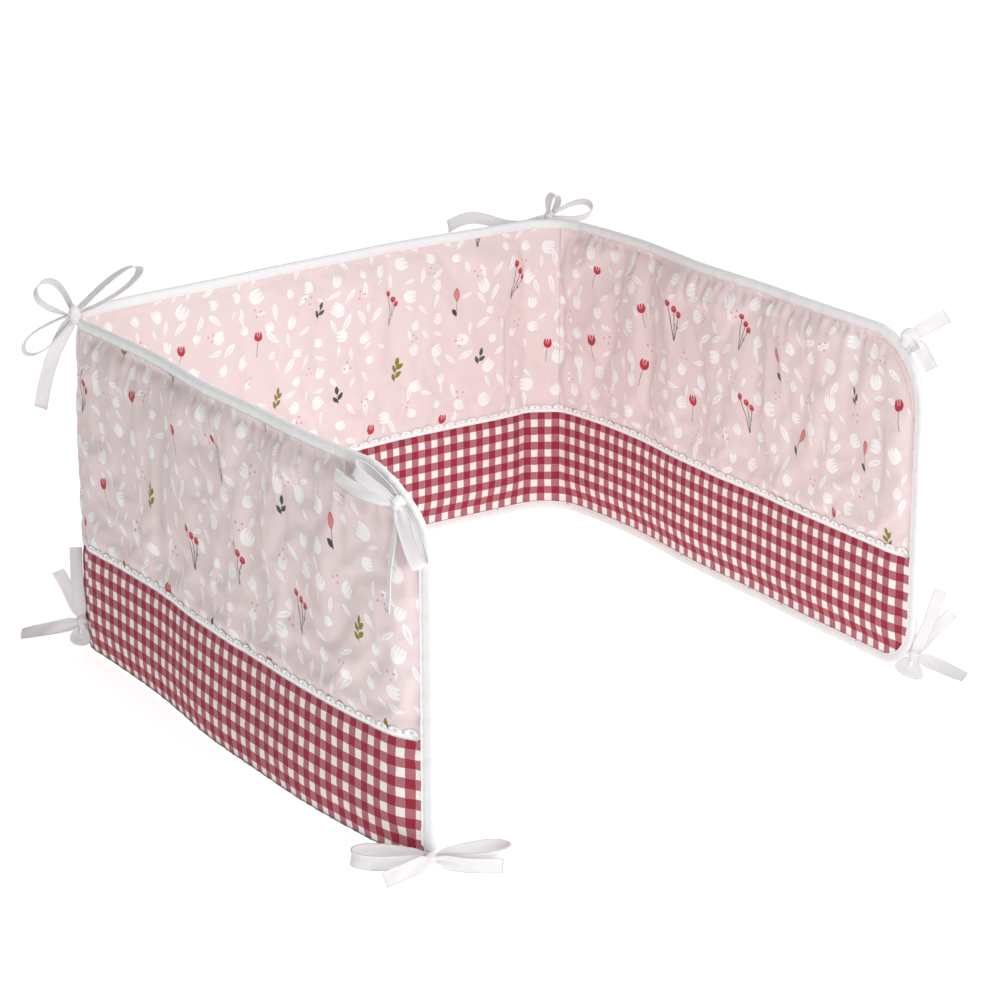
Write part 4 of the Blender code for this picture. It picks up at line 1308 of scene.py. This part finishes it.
class BumperSettings(bpy.types.PropertyGroup):
    """Colours and light that a user would change."""

    pink_low: colour_property(
        "Pink, shaded", "Ground of the print where it is deepest", (0.790, 0.650, 0.648)
    )
    pink_high: colour_property(
        "Pink, bright", "Ground of the print where it is palest", (0.845, 0.708, 0.706)
    )
    red: colour_property("Red", "Red of the printed flowers", (0.42, 0.026, 0.044))
    check_deep: colour_property("Check, deep", "Gingham where both stripes cross", (0.325, 0.024, 0.048))
    check_mid: colour_property("Check, middle", "Gingham where one stripe runs", (0.455, 0.152, 0.182))
    white_low: colour_property("Binding, shaded", "Binding where it is deepest", (0.830, 0.835, 0.830))
    white_high: colour_property("Binding, bright", "Binding where it is palest", (0.895, 0.900, 0.895))
    key_power: number_property("Top light", "Power of the soft light over the U", 3.6, min=0.0)
    fill_power: number_property("Front light", "Power of the soft light from the front", 11.0, min=0.0)
    surround: number_property("Surround", "Strength of the pale room", 0.50, min=0.0)
    room_slope: number_property("Room slope", "How much brighter the room is on the right", 0.70, max=1.0)
    floor_glow: number_property("Floor glow", "Light that the white floor adds by itself", 0.58, min=0.0)
    lens: number_property("Lens", "Focal length on a 36 mm sensor", 107.49, min=1.0, unit="CAMERA")


class BUMPER_OT_panels(bpy.types.Operator):
    """Padded print and gingham panels of the three sections"""

    bl_idname = "bumper.panels"
    bl_label = "Padded panels"

    def execute(self, context):
        settings = context.scene.bumper
        weave = group_weave()
        groups = (group_motif_cell(), group_petal_fan(), group_cup(), group_sprig(), group_berries())
        printed_cloth = print_material(settings, *groups, weave)
        checked_cloth = gingham_material(settings, weave)
        top, foot, level = (dict.fromkeys(SEAM, z) for z in (HEIGHT - MARGIN, MARGIN, 0.0))
        above = {side: z + SEAM_GAP / 2 for side, z in SEAM.items()}
        below = {side: z - SEAM_GAP / 2 for side, z in SEAM.items()}
        pieces = []
        for name, low, high in SECTIONS:
            pieces.append(make_pad(f"print_{name}", low, high, above, top, printed_cloth, level))
            pieces.append(make_pad(f"gingham_{name}", low, high, foot, below, checked_cloth, SEAM))
        swell(pieces)
        for piece in pieces:
            refine(piece)
            is_print = piece.name.startswith("print")
            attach(piece, "root")
            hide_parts("print_panel" if is_print else "gingham_panel")
        return {"FINISHED"}


class BUMPER_OT_laces(bpy.types.Operator):
    """Scalloped lace in the seam on both faces"""

    bl_idname = "bumper.laces"
    bl_label = "Lace"

    def execute(self, context):
        thread = plain_cloth("lace_thread", *LACE_WHITES, 0.85, 0.1, 900.0, 0.0003)
        for name, side in (("lace_outer", 1), ("lace_inner", -1)):
            piece = make_lace(f"{name}_edging", side, thread)
            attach(piece, "root")
            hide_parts(name)
            flat = (LACE_FLAT, LENGTH - 2 * LACE_END)
        return {"FINISHED"}


class BUMPER_OT_binding(bpy.types.Operator):
    """White binding folded over the whole edge"""

    bl_idname = "bumper.binding"
    bl_label = "Binding"

    def execute(self, context):
        piece = make_binding(binding_material(context.scene.bumper, group_weave()))
        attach(piece, "root")
        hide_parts("binding")
        corners = 2 * TOP_CORNER + NEAR_FOOT_CORNER + RIGHT_FOOT_CORNER
        rim = 2 * (LENGTH + HEIGHT) - (2 - math.pi / 2) * corners
        return {"FINISHED"}


class BUMPER_OT_bows(bpy.types.Operator):
    """The tape ties, each tied in a bow"""

    bl_idname = "bumper.bows"
    bl_label = "Bows"

    def execute(self, context):
        tape = plain_cloth("tape_cloth", *TAPE_WHITES, 0.5, 0.3, 500.0, 0.0004)
        for name, (_, _, rows) in BOWS.items():
            piece = make_bow(name, tape)
            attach(piece, "root")
            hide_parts(name)
            reaches = [np.linalg.norm(row[1:4]) * MM for row in rows]
            there = sum(r * (1.0 if row[0] == "tail" else LOOP_TAPE) for r, row in zip(reaches, rows))
            flat = (TAPE_WIDTH, there + KNOT_TAPE)
        return {"FINISHED"}


def add_object(name, data, place, turn):
    """Puts a light or the camera at its place, turned by three angles in radians."""
    thing = bpy.data.objects.new(name, data)
    thing.location = place
    thing.rotation_euler = turn
    bpy.context.collection.objects.link(thing)
    return thing


class BUMPER_OT_stage(bpy.types.Operator):
    """Pale floor, soft light and the camera"""

    bl_idname = "bumper.stage"
    bl_label = "Stage"

    def execute(self, context):
        settings = context.scene.bumper
        material = bpy.data.materials.new("floor")
        material.use_nodes = True
        shader = material.node_tree.nodes["Principled BSDF"]
        shader.inputs["Base Color"].default_value = FLOOR_WHITE
        shader.inputs["Roughness"].default_value = 0.9
        shader.inputs["Emission Color"].default_value = (1.0, 1.0, 1.0, 1.0)
        shader.inputs["Emission Strength"].default_value = settings.floor_glow
        ends = ((-1, -1), (1, -1), (1, 1), (-1, 1))
        corners = [(x * FLOOR_REACH, y * FLOOR_REACH, 0) for x, y in ends]
        floor = into_object("floor", corners, [(0, 1, 2, 3)], material)
        floor.location.z = FLOOR_LEVEL
        world = bpy.data.worlds.new("room")
        world.use_nodes = True
        tree = world.node_tree
        sky = tree.nodes["Background"]
        towards = new_node(tree, "ShaderNodeTexCoord").outputs["Object"]
        apart = new_node(tree, "ShaderNodeSeparateXYZ", {"Vector": towards})
        give(tree, sky.inputs["Color"], Term(tree, apart.outputs[0]) * settings.room_slope + 1.0)
        sky.inputs["Strength"].default_value = settings.surround
        context.scene.world = world
        for name, place, target, size, power in LIGHTS:
            data = bpy.data.lights.new(name, "AREA")
            data.size = size
            data.energy = getattr(settings, power)
            x, y, z = np.array(target) - np.array(place)
            add_object(name, data, place, (math.atan2(math.hypot(x, y), -z), 0.0, math.atan2(-x, y)))
        data = bpy.data.cameras.new("camera")
        data.sensor_width = 36.0
        data.lens = settings.lens
        context.scene.camera = add_object("camera", data, CAMERA_PLACE, np.radians(CAMERA_TURN))
        context.scene.view_settings.view_transform = "Standard"
        return {"FINISHED"}


class BUMPER_PT_sidebar(bpy.types.Panel):
    """Lists the pieces of the bumper"""

    bl_label = "Crib bumper"
    bl_space_type = "VIEW_3D"
    bl_region_type = "UI"
    bl_category = "Crib bumper"

    def draw(self, context):
        for name in BumperSettings.__annotations__:
            self.layout.prop(context.scene.bumper, name)
        for piece in OPERATORS:
            self.layout.operator(piece.bl_idname)


OPERATORS = (
    BUMPER_OT_panels,
    BUMPER_OT_laces,
    BUMPER_OT_binding,
    BUMPER_OT_bows,
    BUMPER_OT_stage,
)


def register():
    """Adds the classes and the scene's settings."""
    for kind in (BumperSettings, *OPERATORS, BUMPER_PT_sidebar):
        bpy.utils.register_class(kind)
    bpy.types.Scene.bumper = bpy.props.PointerProperty(type=BumperSettings)


def unregister():
    """Takes the settings and the classes away again."""
    del bpy.types.Scene.bumper
    for kind in reversed((BumperSettings, *OPERATORS, BUMPER_PT_sidebar)):
        bpy.utils.unregister_class(kind)


def main():
    """Makes every piece and the stage."""
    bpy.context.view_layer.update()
    register()
    bpy.ops.bumper.panels()
    bpy.ops.bumper.laces()
    bpy.ops.bumper.binding()
    bpy.ops.bumper.bows()
    bpy.ops.bumper.stage()


if __name__ == "__main__":
    main()
